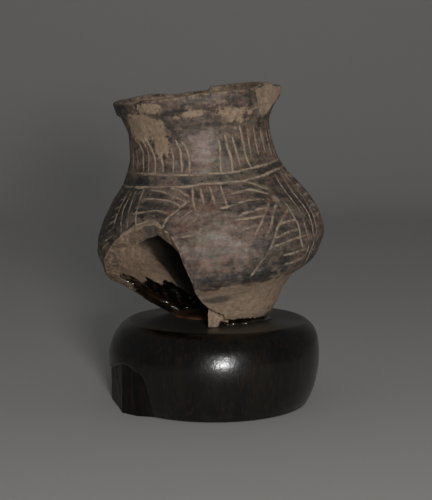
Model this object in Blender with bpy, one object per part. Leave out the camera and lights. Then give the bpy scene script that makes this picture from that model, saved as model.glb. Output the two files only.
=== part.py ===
# A small hand-built clay jar with incised bands, broken and mended, glued to a turned wooden base.
# Metres, +Z up. The origin is the centre of the base's underside. The broken side faces -Y.

from math import cos, pi, radians, sin, tan

import bmesh
import bpy
from mathutils import Matrix, Vector

# Jar: heights and depths run along its own axis from the widest circle
RIM_HEIGHT = 0.0653
RIM_RADIUS = 0.0344
NECK_HEIGHT = 0.0485
NECK_RADIUS = 0.0304
SHOULDER_HEIGHT = 0.0290
SHOULDER_RADIUS = 0.0350
BELLY_RADIUS = 0.0493
FOOT_DEPTH = 0.0315
FOOT_RADIUS = 0.0243
WALL = 0.0046
LIP_WALL = 0.0036
BELLY_SWAY = 0.0018
LEFT_SWELL = 0.0024

# Rim band, and the flat scar where a lug broke away
BAND_HEIGHT = 0.0064
BAND_PROUD = 0.0010
RIM_WAVE = 0.0009
LUG_ANGLE = radians(82)
LUG_SPREAD = radians(24)
LUG_PROUD = 0.0022
SCAR_ANGLE = radians(58.5)
SCAR_LENGTH = 0.0136
SCAR_DEPTH = 0.0021

# Lean of the jar on its base
LEAN_LEFT = radians(6.0)
LEAN_FRONT = radians(5.0)
JAR_OFFSET = -0.0013

# Incised lines
LINE_WIDTH = 0.0010
LINE_DEPTH = 0.0007
UPPER_RING_HEIGHT = 0.0332
LOWER_RING_HEIGHT = 0.0293
NECK_STROKES = 52
NECK_STROKE_TOP = 0.0485
WORN_FROM = radians(-4)
WORN_TO = radians(11)
PATTERN_DEPTH = 0.0080
BAND_LINES = 4
BAND_SPREAD = radians(15)

# Wooden base
BASE_HEIGHT = 0.0368
BASE_RADIUS = 0.0463
BASE_TOP_RADIUS = 0.0360
BASE_FOOT_RADIUS = 0.0403
BASE_TOP_SHIFT = 0.0012
FLAW_HEIGHT = 0.0175
FLAW_STEP = 0.0010

# Resin and the loose sherd
FOOT_CLEARANCE = 0.0028
GAP = 0.0003
PAD_RADIUS = 0.0175
PAD_THICKNESS = 0.0010
BEAD_WIDTH = 0.0064
BEAD_FROM = radians(10)
BEAD_TO = radians(74)
FILL_THICKNESS = 0.0034
FILL_FROM = radians(-86)
FILL_TO = radians(-166)
SHERD_WIDTH = 0.0046
SHERD_DEPTH = 0.0030

# Facets
JAR_COLUMNS = 56
BASE_COLUMNS = 42
PAD_COLUMNS = 24
BEAD_STEPS = 12
BEAD_ROWS = 4
FILL_STEPS = 14
FILL_ROWS = 6

# Shares of the way from shoulder to neck, neck to rim, and from the widest circle up and down:
# each pair is a share of the height and a share of the change in radius
SHOULDER_TO_NECK = ((0.46, 0.80), (0.77, 0.96))
NECK_TO_RIM = ((0.12, 0.02), (0.38, 0.40), (0.66, 0.76))
BELLY_TO_SHOULDER = ((0.10, 0.00), (0.28, 0.07), (0.48, 0.24), (0.69, 0.54))
BELLY_TO_FOOT = ((0.13, 0.052), (0.32, 0.148), (0.51, 0.476), (0.70, 0.708), (0.89, 0.888))

# The fracture's slant at the top of the break: its inner edge is lower than its outer edge
BEVEL_DROP = 0.0044
BEVEL_CENTRE = radians(-47)
BEVEL_SPREAD = radians(36)

# The break in the lower front wall: degrees round from the front, and height as a share of BELLY_RADIUS
BREAK_LEFT = ((-110, -0.61), (-102, -0.52), (-96, -0.43), (-88, -0.33), (-80, -0.24), (-72, -0.13))
BREAK_TOP = ((-65, -0.01), (-56, 0.14), (-51, 0.21), (-46, 0.27), (-41, 0.30), (-34, 0.33), (-28, 0.335))
BREAK_RIGHT = ((-23, 0.29), (-19.5, 0.25), (-16.5, 0.19), (-14, 0.10), (-12.5, 0.00), (-11, -0.09))
BREAK_FOOT = ((-8.6, -0.18), (-8, -0.30), (-6.5, -0.40), (-3.5, -0.465), (1, -0.51), (7, -0.545))

# The angles of the upright bands round the shoulder: three seen in front, the rest spaced evenly behind
FRONT_BANDS = (radians(-51.5), radians(1.5), radians(57))
HIDDEN_BANDS = 4


def clear_scene():
    for old in list(bpy.data.objects):
        bpy.data.objects.remove(old, do_unlink=True)


def mix(low, high, share):
    return low + (high - low) * share


def smooth_step(low, high, value):
    share = min(max((value - low) / (high - low), 0.0), 1.0)
    return share * share * (3 - 2 * share)


def bump(angle, centre, spread):
    away = (angle - centre + pi) % (2 * pi) - pi
    return 0.0 if abs(away) >= spread else 0.5 + 0.5 * cos(pi * away / spread)


def follow(points, at):
    """The value at a place on the smooth curve through points, which are pairs in rising order."""
    last = len(points) - 1
    at = min(max(at, points[0][0]), points[last][0])
    i = max(k for k in range(last) if points[k][0] <= at)
    slopes = []
    for k in (i, i + 1):
        before, after = points[max(k - 1, 0)], points[min(k + 1, last)]
        slopes.append((after[1] - before[1]) / (after[0] - before[0]))
    (x0, y0), (x1, y1) = points[i], points[i + 1]
    span = x1 - x0
    s = (at - x0) / span
    start = (1 + 2 * s) * (1 - s) ** 2 * y0 + s * (1 - s) ** 2 * span * slopes[0]
    return start + s * s * (3 - 2 * s) * y1 + s * s * (s - 1) * span * slopes[1]


def straight(points, at):
    """The value at a place on the straight runs between points, which are pairs in rising order."""
    for (x0, y0), (x1, y1) in zip(points, points[1:]):
        if at <= x1:
            return mix(y0, y1, min(max((at - x0) / (x1 - x0), 0.0), 1.0))
    return points[-1][1]


def jar_profile():
    """Height and radius pairs of the jar's outside, from the foot up to the rim."""
    points = [(-1.3 * FOOT_DEPTH, 0.72 * FOOT_RADIUS), (-FOOT_DEPTH, FOOT_RADIUS)]
    for height, radius in reversed(BELLY_TO_FOOT):
        points.append((-height * FOOT_DEPTH, mix(BELLY_RADIUS, FOOT_RADIUS, radius)))
    for height, radius in BELLY_TO_SHOULDER:
        points.append((height * SHOULDER_HEIGHT, mix(BELLY_RADIUS, SHOULDER_RADIUS, radius)))
    points.append((SHOULDER_HEIGHT, SHOULDER_RADIUS))
    for height, radius in SHOULDER_TO_NECK:
        points.append((mix(SHOULDER_HEIGHT, NECK_HEIGHT, height), mix(SHOULDER_RADIUS, NECK_RADIUS, radius)))
    points.append((NECK_HEIGHT, NECK_RADIUS))
    for height, radius in NECK_TO_RIM:
        points.append((mix(NECK_HEIGHT, RIM_HEIGHT, height), mix(NECK_RADIUS, RIM_RADIUS, radius)))
    points.append((RIM_HEIGHT, RIM_RADIUS))
    return points


PROFILE = jar_profile()


def wall_at(height):
    return mix(WALL, LIP_WALL, smooth_step(NECK_HEIGHT, RIM_HEIGHT, height))


def body_radius(angle, height):
    """The turned outline, a little fuller low on the left."""
    swell = bump(angle, radians(-110), radians(65)) * bump(height / FOOT_DEPTH, -0.8, 0.5)
    return follow(PROFILE, height) + LEFT_SWELL * swell


def outer_radius(angle, height):
    radius = body_radius(angle, height)
    edge = RIM_HEIGHT - BAND_HEIGHT
    radius += BAND_PROUD * smooth_step(edge - 0.1 * BAND_HEIGHT, edge + 0.1 * BAND_HEIGHT, height)
    lug_foot = RIM_HEIGHT - SCAR_LENGTH
    radius += LUG_PROUD * bump(angle, LUG_ANGLE, LUG_SPREAD) * smooth_step(lug_foot, RIM_HEIGHT, height)
    turn = cos(angle - SCAR_ANGLE)
    if turn > 0.5 and height > lug_foot:
        share = (height - lug_foot) / SCAR_LENGTH
        tip = follow(PROFILE, lug_foot)
        flat = mix(tip, RIM_RADIUS + BAND_PROUD - SCAR_DEPTH, share)
        radius = min(radius, flat / turn)
    return radius


def inner_radius(angle, height):
    return body_radius(angle, height) - wall_at(height)


def rim_top(angle):
    """The lip's height, which waves a little and steps up at the far right."""
    dip = RIM_WAVE * (0.5 - 0.5 * cos(2 * angle))
    return RIM_HEIGHT - dip + RIM_WAVE * bump(angle, radians(132), radians(40))


def sway(height):
    """How far the underside of the belly sits off the axis, towards the left."""
    return -BELLY_SWAY * bump(height / FOOT_DEPTH, -0.54, 0.5)


def jar_point(angle, height, radius):
    return Vector((sway(height) + radius * sin(angle), -radius * cos(angle), height))


def lean_matrix():
    """The jar's own axes, with its top leaning to the left and to the front."""
    up = Vector((-tan(LEAN_LEFT), -tan(LEAN_FRONT), 1)).normalized()
    side = (Vector((1, 0, 0)) - up * up.x).normalized()
    return Matrix((side, up.cross(side), up)).transposed()


LEAN = lean_matrix()
JAR_CENTRE = Vector((JAR_OFFSET, 0, BASE_HEIGHT + FOOT_CLEARANCE + FOOT_DEPTH * LEAN[2][2]))


def level_height(angle, radius, above_base):
    """The height along the jar's axis at which it is above_base over the base's top."""
    flat = LEAN[2][0] * radius * sin(angle) - LEAN[2][1] * radius * cos(angle)
    return (BASE_HEIGHT + above_base - JAR_CENTRE.z - flat) / LEAN[2][2]


def foot_edge(angle):
    jag = 0.12 * FOOT_CLEARANCE * (sin(7 * angle) + sin(11 * angle + 1))
    return level_height(angle, FOOT_RADIUS, FOOT_CLEARANCE + jag)


def break_outline():
    """Angle and height of the whole lower edge of the clay, once round from the back."""
    shown = BREAK_LEFT + BREAK_TOP + BREAK_RIGHT + BREAK_FOOT
    gap_start, gap_end = shown[0][0], shown[-1][0]
    points = [(radians(a), share * BELLY_RADIUS) for a, share in shown]
    behind = [radians(a) for a in range(-180, int(gap_start) - 7, 10)]
    front = [radians(a) for a in range(int(gap_end) + 7, 180, 8)]
    points = [(a, foot_edge(a)) for a in behind] + points + [(a, foot_edge(a)) for a in front]
    return points + [(pi, points[0][1])]


def new_mesh_object(name, verts, faces, material=None, parent=None):
    mesh = bpy.data.meshes.new(name)
    mesh.from_pydata([tuple(v) for v in verts], [], faces)
    work = bmesh.new()
    work.from_mesh(mesh)
    bmesh.ops.recalc_face_normals(work, faces=work.faces)
    work.to_mesh(mesh)
    work.free()
    mesh.validate()
    made = bpy.data.objects.new(name, mesh)
    bpy.context.scene.collection.objects.link(made)
    made.parent = parent
    if material:
        mesh.materials.append(material)
    return made


def ring_faces(start_a, start_b, count):
    faces = []
    for i in range(count):
        j = (i + 1) % count
        faces.append((start_a + i, start_a + j, start_b + j, start_b + i))
    return faces


def stacked(name, rings, material=None, parent=None, join_ends=False):
    """A closed solid from rings of equal count: capped at both ends, or its last ring joined to its first."""
    count = len(rings[0])
    verts = [p for ring in rings for p in ring]
    faces = []
    for k in range(len(rings) - 1):
        faces += ring_faces(k * count, (k + 1) * count, count)
    last = (len(rings) - 1) * count
    if join_ends:
        faces += ring_faces(last, 0, count)
    else:
        faces += [tuple(range(count)), tuple(last + i for i in range(count))]
    return new_mesh_object(name, verts, faces, material, parent)


def slab(name, grid_a, grid_b, material=None, parent=None):
    """A closed solid between two grids of points of the same size."""
    rows, columns = len(grid_a), len(grid_a[0])
    verts = [p for row in grid_a for p in row] + [p for row in grid_b for p in row]
    half = rows * columns
    faces = []
    for r in range(rows - 1):
        for c in range(columns - 1):
            i = r * columns + c
            quad = (i, i + 1, i + columns + 1, i + columns)
            faces += [quad, tuple(half + k for k in quad)]
    border = list(range(columns))
    border += [r * columns + columns - 1 for r in range(1, rows)]
    border += [(rows - 1) * columns + c for c in range(columns - 2, -1, -1)]
    border += [r * columns for r in range(rows - 2, 0, -1)]
    for a, b in zip(border, border[1:] + border[:1]):
        faces.append((a, b, half + b, half + a))
    return new_mesh_object(name, verts, faces, material, parent)


def as_cutter(made):
    made.hide_render = True
    made.display_type = "WIRE"
    return made


def cut(target, cutter, name):
    modifier = target.modifiers.new(name, "BOOLEAN")
    modifier.operation = "DIFFERENCE"
    modifier.solver = "EXACT"
    modifier.object = cutter


def make_material(name, colour, roughness, metallic=0.0):
    material = bpy.data.materials.new(name)
    material.use_nodes = True
    shader = material.node_tree.nodes["Principled BSDF"]
    shader.inputs["Base Color"].default_value = (*colour, 1)
    shader.inputs["Roughness"].default_value = roughness
    shader.inputs["Metallic"].default_value = metallic
    return material


def jar_rows():
    """Heights of the outside's rows, with three rows in each ring line and two at the band's edge."""
    band = RIM_HEIGHT - BAND_HEIGHT
    rows = [band + 0.55 * BAND_HEIGHT, band + 0.1 * BAND_HEIGHT, band - 0.1 * BAND_HEIGHT]
    rows += [mix(UPPER_RING_HEIGHT, band, share) for share in (0.82, 0.61, 0.41, 0.2)]
    for ring in (UPPER_RING_HEIGHT, LOWER_RING_HEIGHT):
        rows += [ring + LINE_WIDTH / 2, ring, ring - LINE_WIDTH / 2]
    rows += [LOWER_RING_HEIGHT * share for share in (0.83, 0.66, 0.49, 0.32, 0.13)]
    rows += [-FOOT_DEPTH * share for share in (0.07, 0.24, 0.37, 0.50, 0.68, 0.88, 1.25)]
    return rows


def shell_ring(height, radius):
    return [jar_point(a, height, radius(a)) for a in jar_angles()]


def jar_angles():
    return [2 * pi * i / JAR_COLUMNS for i in range(JAR_COLUMNS)]


def make_shell(material, parent):
    """The whole jar before its break, open at the top and at the foot."""
    rings = [[jar_point(a, rim_top(a), outer_radius(a, rim_top(a)) - 0.3 * LIP_WALL) for a in jar_angles()]]
    lip = RIM_HEIGHT - 0.35 * LIP_WALL - RIM_WAVE
    rings.append(shell_ring(lip, lambda a: outer_radius(a, lip)))
    for height in jar_rows():
        in_line = height in (UPPER_RING_HEIGHT, LOWER_RING_HEIGHT)
        depth = LINE_DEPTH if in_line else 0.0
        rings.append(shell_ring(height, lambda a, h=height, d=depth: outer_radius(a, h) - d))
    inside = [-FOOT_DEPTH * share for share in (1.25, 0.8, 0.52, 0.34, 0.1)]
    inside += [SHOULDER_HEIGHT * share for share in (0.25, 0.6, 1.0)]
    inside += [NECK_HEIGHT * 0.8, NECK_HEIGHT, RIM_HEIGHT - 0.5 * BAND_HEIGHT]
    for height in inside:
        rings.append(shell_ring(height, lambda a, h=height: inner_radius(a, h)))
    lip_inside = [(a, rim_top(a) - 0.1 * LIP_WALL) for a in jar_angles()]
    rings.append([jar_point(a, h, inner_radius(a, RIM_HEIGHT)) for a, h in lip_inside])
    return stacked("jar", rings, material, parent, join_ends=True)


def make_break_cutter(parent):
    """A plug that takes away everything under the clay's lower edge, with a bevelled fracture at the top."""
    outline = break_outline()[:-1]
    outside = BELLY_RADIUS + 2 * WALL
    core = 0.3 * FOOT_RADIUS
    bottom = -2 * FOOT_DEPTH
    rings = [[], [], [], [], []]
    for angle, height in outline:
        bevel = BEVEL_DROP * bump(angle, BEVEL_CENTRE, BEVEL_SPREAD)
        surface = outer_radius(angle, height)
        slope = bevel / wall_at(height)
        beyond = height + slope * (outside - surface)
        within = height - slope * 2 * WALL
        rings[0].append(jar_point(angle, bottom, outside))
        rings[1].append(jar_point(angle, beyond, outside))
        rings[2].append(jar_point(angle, within, surface - 2 * WALL))
        rings[3].append(jar_point(angle, -FOOT_DEPTH, core))
        rings[4].append(jar_point(angle, bottom, core))
    return as_cutter(stacked("break_cutter", rings, parent=parent, join_ends=True))


def add_groove(verts, faces, path):
    """Adds a wedge, LINE_WIDTH wide at the clay, along path, a list of angle and height pairs."""
    count = len(path)
    start = len(verts)
    for k, (angle, height) in enumerate(path):
        before, after = path[max(k - 1, 0)], path[min(k + 1, count - 1)]
        radius = outer_radius(angle, height)
        along = Vector(((after[0] - before[0]) * radius, after[1] - before[1])).normalized()
        side = Vector((-along.y, along.x)) * LINE_WIDTH
        for way in (1, -1):
            turn = angle + way * side.x / radius
            verts.append(jar_point(turn, height + way * side.y, radius + LINE_DEPTH))
        verts.append(jar_point(angle, height, radius - LINE_DEPTH))
    for k in range(count - 1):
        a, b = start + 3 * k, start + 3 * k + 3
        faces += [(a, a + 1, b + 1, b), (a + 1, a + 2, b + 2, b + 1), (a + 2, a, b, b + 2)]
    end = start + 3 * (count - 1)
    faces += [(start, start + 2, start + 1), (end, end + 1, end + 2)]


def sampled(path_function, steps):
    return [path_function(k / steps) for k in range(steps + 1)]


def neck_paths():
    """Upright strokes round the neck above the rings, missing where the neck is worn smooth."""
    low = UPPER_RING_HEIGHT + 1.2 * LINE_WIDTH
    for k in range(NECK_STROKES):
        angle = 2 * pi * k / NECK_STROKES
        angle -= 2 * pi if angle > pi else 0
        if WORN_FROM < angle < WORN_TO:
            continue
        top = NECK_STROKE_TOP - 0.14 * (NECK_STROKE_TOP - low) * (1 + sin(5 * k))
        lean = radians(1.2) * sin(3 * k)
        yield sampled(lambda s: (angle + lean * s, mix(low, top, s)), 2)


def band_angles():
    """The upright bands, from the front-left one round to the right and on round the back."""
    first, last = FRONT_BANDS[0], FRONT_BANDS[-1]
    step = (2 * pi + first - last) / (HIDDEN_BANDS + 1)
    return list(FRONT_BANDS) + [last + step * (k + 1) for k in range(HIDDEN_BANDS)]


def band_foot(index):
    """The height where a band's lines stop: the first two in front end at the break and at worn clay."""
    shown = (0.52 * LOWER_RING_HEIGHT, 0.72 * LOWER_RING_HEIGHT)
    return shown[index] if index < len(shown) else -PATTERN_DEPTH


def band_paths():
    high = LOWER_RING_HEIGHT - 1.2 * LINE_WIDTH
    for index, centre in enumerate(band_angles()):
        low = band_foot(index)
        drift = radians(7) if index == 0 else radians(1.5)
        steps = 8 if low < 0 else 4
        for line in range(BAND_LINES):
            start = centre + BAND_SPREAD * (line / (BAND_LINES - 1) - 0.5)
            yield sampled(lambda s: (start + drift * s * s, mix(high, low, s)), steps)


def slant_paths():
    """Sets of slanting lines on the two front panels, from each right-hand band down to the left."""
    angles = band_angles()
    for right in angles[1:3]:
        for line in range(2):
            start = (right - radians(11.5 - 1.0 * line), LOWER_RING_HEIGHT * (0.76 - 0.12 * line))
            end = (right - radians(31 - 4.0 * line), LOWER_RING_HEIGHT * (0.32 - 0.12 * line))
            elbow = (mix(start[0], end[0], 0.45), mix(start[1], end[1], 0.25))
            yield sampled(lambda s: bezier(start, elbow, end, s), 6)


def bezier(start, middle, end, s):
    return tuple((1 - s) ** 2 * a + 2 * s * (1 - s) * b + s * s * c for a, b, c in zip(start, middle, end))


def make_groove_cutter(parent):
    verts, faces = [], []
    for paths in (neck_paths(), band_paths(), slant_paths()):
        for path in paths:
            add_groove(verts, faces, path)
    return as_cutter(new_mesh_object("groove_cutter", verts, faces, parent=parent))


def make_jar(material, parent):
    jar = make_shell(material, parent)
    cut(jar, make_groove_cutter(parent), "incised lines")
    cut(jar, make_break_cutter(parent), "break")
    return jar


def base_radius(angle, height):
    """The turned side, with the flaw's upright facets low on the left front."""
    widest = 0.55 * BASE_HEIGHT
    points = [
        (0.0, BASE_FOOT_RADIUS),
        (0.05 * BASE_HEIGHT, mix(BASE_FOOT_RADIUS, BASE_RADIUS, 0.22)),
        (0.16 * BASE_HEIGHT, mix(BASE_FOOT_RADIUS, BASE_RADIUS, 0.55)),
        (0.33 * BASE_HEIGHT, mix(BASE_FOOT_RADIUS, BASE_RADIUS, 0.84)),
        (widest, BASE_RADIUS),
        (0.73 * BASE_HEIGHT, mix(BASE_TOP_RADIUS, BASE_RADIUS, 0.92)),
        (0.87 * BASE_HEIGHT, mix(BASE_TOP_RADIUS, BASE_RADIUS, 0.73)),
        (0.95 * BASE_HEIGHT, mix(BASE_TOP_RADIUS, BASE_RADIUS, 0.47)),
        (0.99 * BASE_HEIGHT, mix(BASE_TOP_RADIUS, BASE_RADIUS, 0.22)),
        (BASE_HEIGHT, BASE_TOP_RADIUS),
    ]
    turned = follow(points, height)
    if height > FLAW_HEIGHT:
        return turned
    share = height / FLAW_HEIGHT
    facets = []
    for facing, half in ((radians(-79), radians(17)), (radians(-52), radians(12))):
        away = abs(angle - facing)
        if away < half:
            reach = mix(BASE_RADIUS - 2.2 * FLAW_STEP, BASE_RADIUS - FLAW_STEP, share)
            facets.append(reach * cos(half * 0.6) / cos(away))
    return max(facets) if facets else turned


def base_angles():
    return [-pi + 2 * pi * i / BASE_COLUMNS for i in range(BASE_COLUMNS)]


def make_base(material):
    rows = [0.0, 0.03, 0.1, 0.22, 0.34]
    heights = [BASE_HEIGHT * share for share in rows]
    heights += [FLAW_HEIGHT - 0.2 * FLAW_STEP, FLAW_HEIGHT + 0.2 * FLAW_STEP]
    heights += [BASE_HEIGHT * share for share in (0.62, 0.76, 0.87, 0.95, 0.99, 1.0)]
    rings = []
    for height in heights:
        shift = BASE_TOP_SHIFT * smooth_step(0.55 * BASE_HEIGHT, BASE_HEIGHT, height)
        ring = [(base_radius(a, height), a) for a in base_angles()]
        rings.append([Vector((shift + r * sin(a), -r * cos(a), height)) for r, a in ring])
    return stacked("wood_base", rings, material)


def pad_centre():
    """The pad sits under the foot, a little behind and to the left."""
    return Vector((JAR_OFFSET - 0.04 * PAD_RADIUS, 0.5 * PAD_RADIUS, BASE_HEIGHT + GAP))


def make_pad(material):
    middle = pad_centre()
    rings = []
    for share, lift in ((0.97, 0.0), (1.0, 0.35), (0.93, 0.9), (0.72, 1.0)):
        ring = []
        for k in range(PAD_COLUMNS):
            a = 2 * pi * k / PAD_COLUMNS
            reach = PAD_RADIUS * share * (1 + 0.03 * sin(3 * a + 1) + 0.02 * sin(5 * a))
            ring.append(middle + Vector((reach * sin(a), -reach * cos(a), PAD_THICKNESS * lift)))
        rings.append(ring)
    return stacked("resin_pad", rings, material)


def foot_centre():
    """Where the jar's axis meets the plane of the broken foot."""
    return JAR_CENTRE + LEAN @ Vector((0, 0, -FOOT_DEPTH))


def make_bead(material):
    """A low bead of resin along the front of the foot, between the base and the broken edge."""
    middle = foot_centre()
    floor = BASE_HEIGHT + GAP
    lower, upper = [], []
    for k in range(BEAD_STEPS + 1):
        share = k / BEAD_STEPS
        angle = mix(BEAD_FROM, BEAD_TO, share)
        swell = sin(pi * mix(0.08, 0.92, share)) ** 0.5
        low_row, high_row = [], []
        for j in range(BEAD_ROWS + 1):
            across = j / BEAD_ROWS - 0.5
            reach = FOOT_RADIUS - 0.45 * WALL + BEAD_WIDTH * across * swell
            height = (FOOT_CLEARANCE - 2.4 * GAP) * swell * (1 - 3.4 * across * across)
            spot = Vector((middle.x + reach * sin(angle), middle.y - reach * cos(angle), floor))
            low_row.append(spot)
            high_row.append(spot + Vector((0, 0, max(height, 0.12 * FOOT_CLEARANCE))))
        lower.append(low_row)
        upper.append(high_row)
    return slab("resin_bead", lower, upper, material)


def fill_top(share):
    """Height of the fill's ragged upper edge, from the left end to the back end."""
    return (mix(-0.38, -0.96, share) + 0.03 * sin(17 * share)) * FOOT_DEPTH


def fill_foot(angle):
    """The fill's lower edge: it hangs a little past the broken clay, and behind it runs down to the pad."""
    hang = straight(break_outline(), angle) - 0.3 * FILL_THICKNESS
    return max(hang, level_height(angle, FOOT_RADIUS - WALL, PAD_THICKNESS + 2.5 * GAP))


def make_fill(material, parent):
    """Resin run down the inner wall behind the break."""
    against, free = [], []
    for k in range(FILL_STEPS + 1):
        share = k / FILL_STEPS
        angle = mix(FILL_FROM, FILL_TO, share)
        top = fill_top(share)
        foot = min(fill_foot(angle), top - 0.5 * FILL_THICKNESS)
        wall_row, free_row = [], []
        for j in range(FILL_ROWS + 1):
            down = j / FILL_ROWS
            height = mix(top, foot, down)
            radius = inner_radius(angle, height) - 1.6 * GAP
            swell = sin(pi * mix(0.1, 0.9, share)) ** 0.5 * sin(pi * mix(0.12, 0.72, down))
            thick = FILL_THICKNESS * (0.2 + 0.8 * swell) * (1 + 0.2 * sin(9 * share + 4 * down))
            wall_row.append(jar_point(angle, height, radius))
            free_row.append(jar_point(angle, height, radius - thick))
        against.append(wall_row)
        free.append(free_row)
    return slab("resin_fill", against, free, material, parent)


def make_sherd(material):
    """A splinter of the foot's wall, upright under the foot's left corner."""
    middle = foot_centre()
    top = JAR_CENTRE + LEAN @ jar_point(0, foot_corner(), FOOT_RADIUS)
    floor = BASE_HEIGHT + GAP
    height = top.z - 4 * GAP - floor
    centre = Vector((middle.x - 0.6 * SHERD_WIDTH, middle.y - FOOT_RADIUS + 0.5 * WALL, floor))
    rings = []
    for level, wide, deep in ((0, 1.0, 1.0), (0.35, 0.92, 1.0), (0.8, 1.0, 0.9), (1.0, 0.8, 0.7)):
        ring = []
        for x, y in ((-0.5, -0.35), (-0.1, -0.5), (0.35, -0.45), (0.5, 0.1), (0.2, 0.5), (-0.45, 0.4)):
            ring.append(centre + Vector((SHERD_WIDTH * x * wide, SHERD_DEPTH * y * deep, height * level)))
        rings.append(ring)
    return stacked("foot_sherd", rings, material)


def foot_corner():
    """Height of the clay's edge straight in front, where the sherd stands."""
    return straight([(radians(a), share * BELLY_RADIUS) for a, share in BREAK_FOOT], 0)


def shade_round(made):
    made.data.shade_smooth()
    made.data.set_sharp_from_angle(angle=radians(35))


def main():
    clear_scene()
    clay = make_material("fired clay, slipped", (0.075, 0.05, 0.04), 0.85)
    bare = make_material("bare fired clay", (0.30, 0.20, 0.135), 0.9)
    wood = make_material("polished dark wood", (0.02, 0.013, 0.009), 0.25)
    resin = make_material("brown resin", (0.06, 0.022, 0.008), 0.12)
    dull_resin = make_material("dull old resin", (0.10, 0.04, 0.02), 0.5)
    jar_axis = bpy.data.objects.new("jar_axis", None)
    bpy.context.scene.collection.objects.link(jar_axis)
    jar_axis.location = JAR_CENTRE
    jar_axis.rotation_euler = LEAN.to_euler()
    pieces = [
        make_base(wood),
        make_pad(dull_resin),
        make_bead(resin),
        make_sherd(bare),
        make_fill(resin, jar_axis),
        make_jar(clay, jar_axis),
    ]
    for piece in pieces:
        shade_round(piece)


main()
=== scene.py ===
import math

import bmesh
import bpy
import numpy as np
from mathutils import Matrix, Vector


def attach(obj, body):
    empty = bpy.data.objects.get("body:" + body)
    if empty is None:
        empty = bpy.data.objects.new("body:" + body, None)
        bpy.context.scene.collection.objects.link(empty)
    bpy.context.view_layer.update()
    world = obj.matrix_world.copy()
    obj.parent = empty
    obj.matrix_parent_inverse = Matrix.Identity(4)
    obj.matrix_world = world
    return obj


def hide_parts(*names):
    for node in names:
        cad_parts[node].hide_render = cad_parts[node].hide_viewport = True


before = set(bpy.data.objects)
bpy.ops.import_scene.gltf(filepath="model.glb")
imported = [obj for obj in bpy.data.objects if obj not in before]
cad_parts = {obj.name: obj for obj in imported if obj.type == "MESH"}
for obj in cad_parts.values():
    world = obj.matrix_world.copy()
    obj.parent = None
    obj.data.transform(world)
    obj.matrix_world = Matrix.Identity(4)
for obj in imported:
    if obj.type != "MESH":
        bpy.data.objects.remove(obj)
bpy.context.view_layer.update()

mm = 0.001
print("frame loaded")


# helpers shared by the pieces
def hexToLinear(colour):
    parts = [int(colour[i:i + 2], 16) / 255 for i in (1, 3, 5)]
    return tuple(v / 12.92 if v <= 0.04045 else ((v + 0.055) / 1.055) ** 2.4 for v in parts) + (1.0,)


def addNode(tree, kind, inputs=None, **settings):
    made = tree.nodes.new(kind)
    for name, value in settings.items():
        setattr(made, name, value)
    for key, value in (inputs or {}).items():
        if isinstance(value, bpy.types.NodeSocket):
            tree.links.new(value, made.inputs[key])
        else:
            made.inputs[key].default_value = value
    return made


def startMaterial(name):
    material = bpy.data.materials.new(name)
    material.use_nodes = True
    tree = material.node_tree
    return material, tree, tree.nodes["Principled BSDF"]


def perMetre(size):
    return 1000.0 / size  # noise scale for a pattern of that many millimetres


def smoothStep(low, high, value):
    share = np.clip((value - low) / (high - low), 0.0, 1.0)
    return share * share * (3 - 2 * share)


def wrap(degrees):
    return (degrees + 180.0) % 360.0 - 180.0


def bump(value, centre, spread, turn=True):
    away = wrap(value - centre) if turn else value - centre
    return np.where(np.abs(away) < spread, 0.5 + 0.5 * np.cos(np.pi * away / spread), 0.0)


def smoothCurve(points, step=0.05):
    xs, ys = np.array(points, float).T
    last = len(xs) - 1
    slopes = np.array([
        (ys[min(k + 1, last)] - ys[max(k - 1, 0)]) / (xs[min(k + 1, last)] - xs[max(k - 1, 0)])
        for k in range(last + 1)
    ])
    at = np.arange(xs[0], xs[-1] + step, step)
    i = np.clip(np.searchsorted(xs, at, side="right") - 1, 0, last - 1)
    span = xs[i + 1] - xs[i]
    s = np.clip((at - xs[i]) / span, 0, 1)
    value = (1 + 2 * s) * (1 - s) ** 2 * ys[i] + s * (1 - s) ** 2 * span * slopes[i]
    value += s * s * (3 - 2 * s) * ys[i + 1] + s * s * (s - 1) * span * slopes[i + 1]
    return lambda x: np.interp(x, at, value)


def waviness(points, size, seed, waves=16):
    # a soft random field of unit strength, from seeded waves about as long as size
    rng = np.random.default_rng(seed)
    way = rng.normal(size=(waves, 3))
    way /= np.linalg.norm(way, axis=1)[:, None]
    way *= (2 * np.pi / size * rng.uniform(0.7, 1.4, waves))[:, None]
    return np.cos(points @ way.T + rng.uniform(0, 2 * np.pi, waves)).sum(1) / math.sqrt(waves / 2)


def addObject(name, data):
    made = bpy.data.objects.new(name, data)
    bpy.context.scene.collection.objects.link(made)
    return made


def faceOutwards(mesh):
    work = bmesh.new()
    work.from_mesh(mesh)
    bmesh.ops.recalc_face_normals(work, faces=work.faces)
    work.to_mesh(mesh)
    work.free()
    mesh.shade_smooth()


def pointsOf(mesh):
    # its points in millimetres
    points = np.empty(len(mesh.vertices) * 3)
    mesh.vertices.foreach_get("co", points)
    return points.reshape(-1, 3) / mm


def meshFrom(name, verts, faces, material, attributes=None):
    mesh = bpy.data.meshes.new(name)
    mesh.from_pydata(np.asarray(verts, float).tolist(), [], faces)
    for key, values in (attributes or {}).items():
        layer = mesh.attributes.new(key, "FLOAT", "POINT")
        layer.data.foreach_set("value", np.asarray(values, np.float32))
    faceOutwards(mesh)
    mesh.materials.append(material)
    return addObject(name, mesh)


def bakeModifiers(made):
    graph = bpy.context.evaluated_depsgraph_get()
    solid = bpy.data.meshes.new_from_object(made.evaluated_get(graph))
    made.modifiers.clear()
    made.data = solid
    return made


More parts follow.
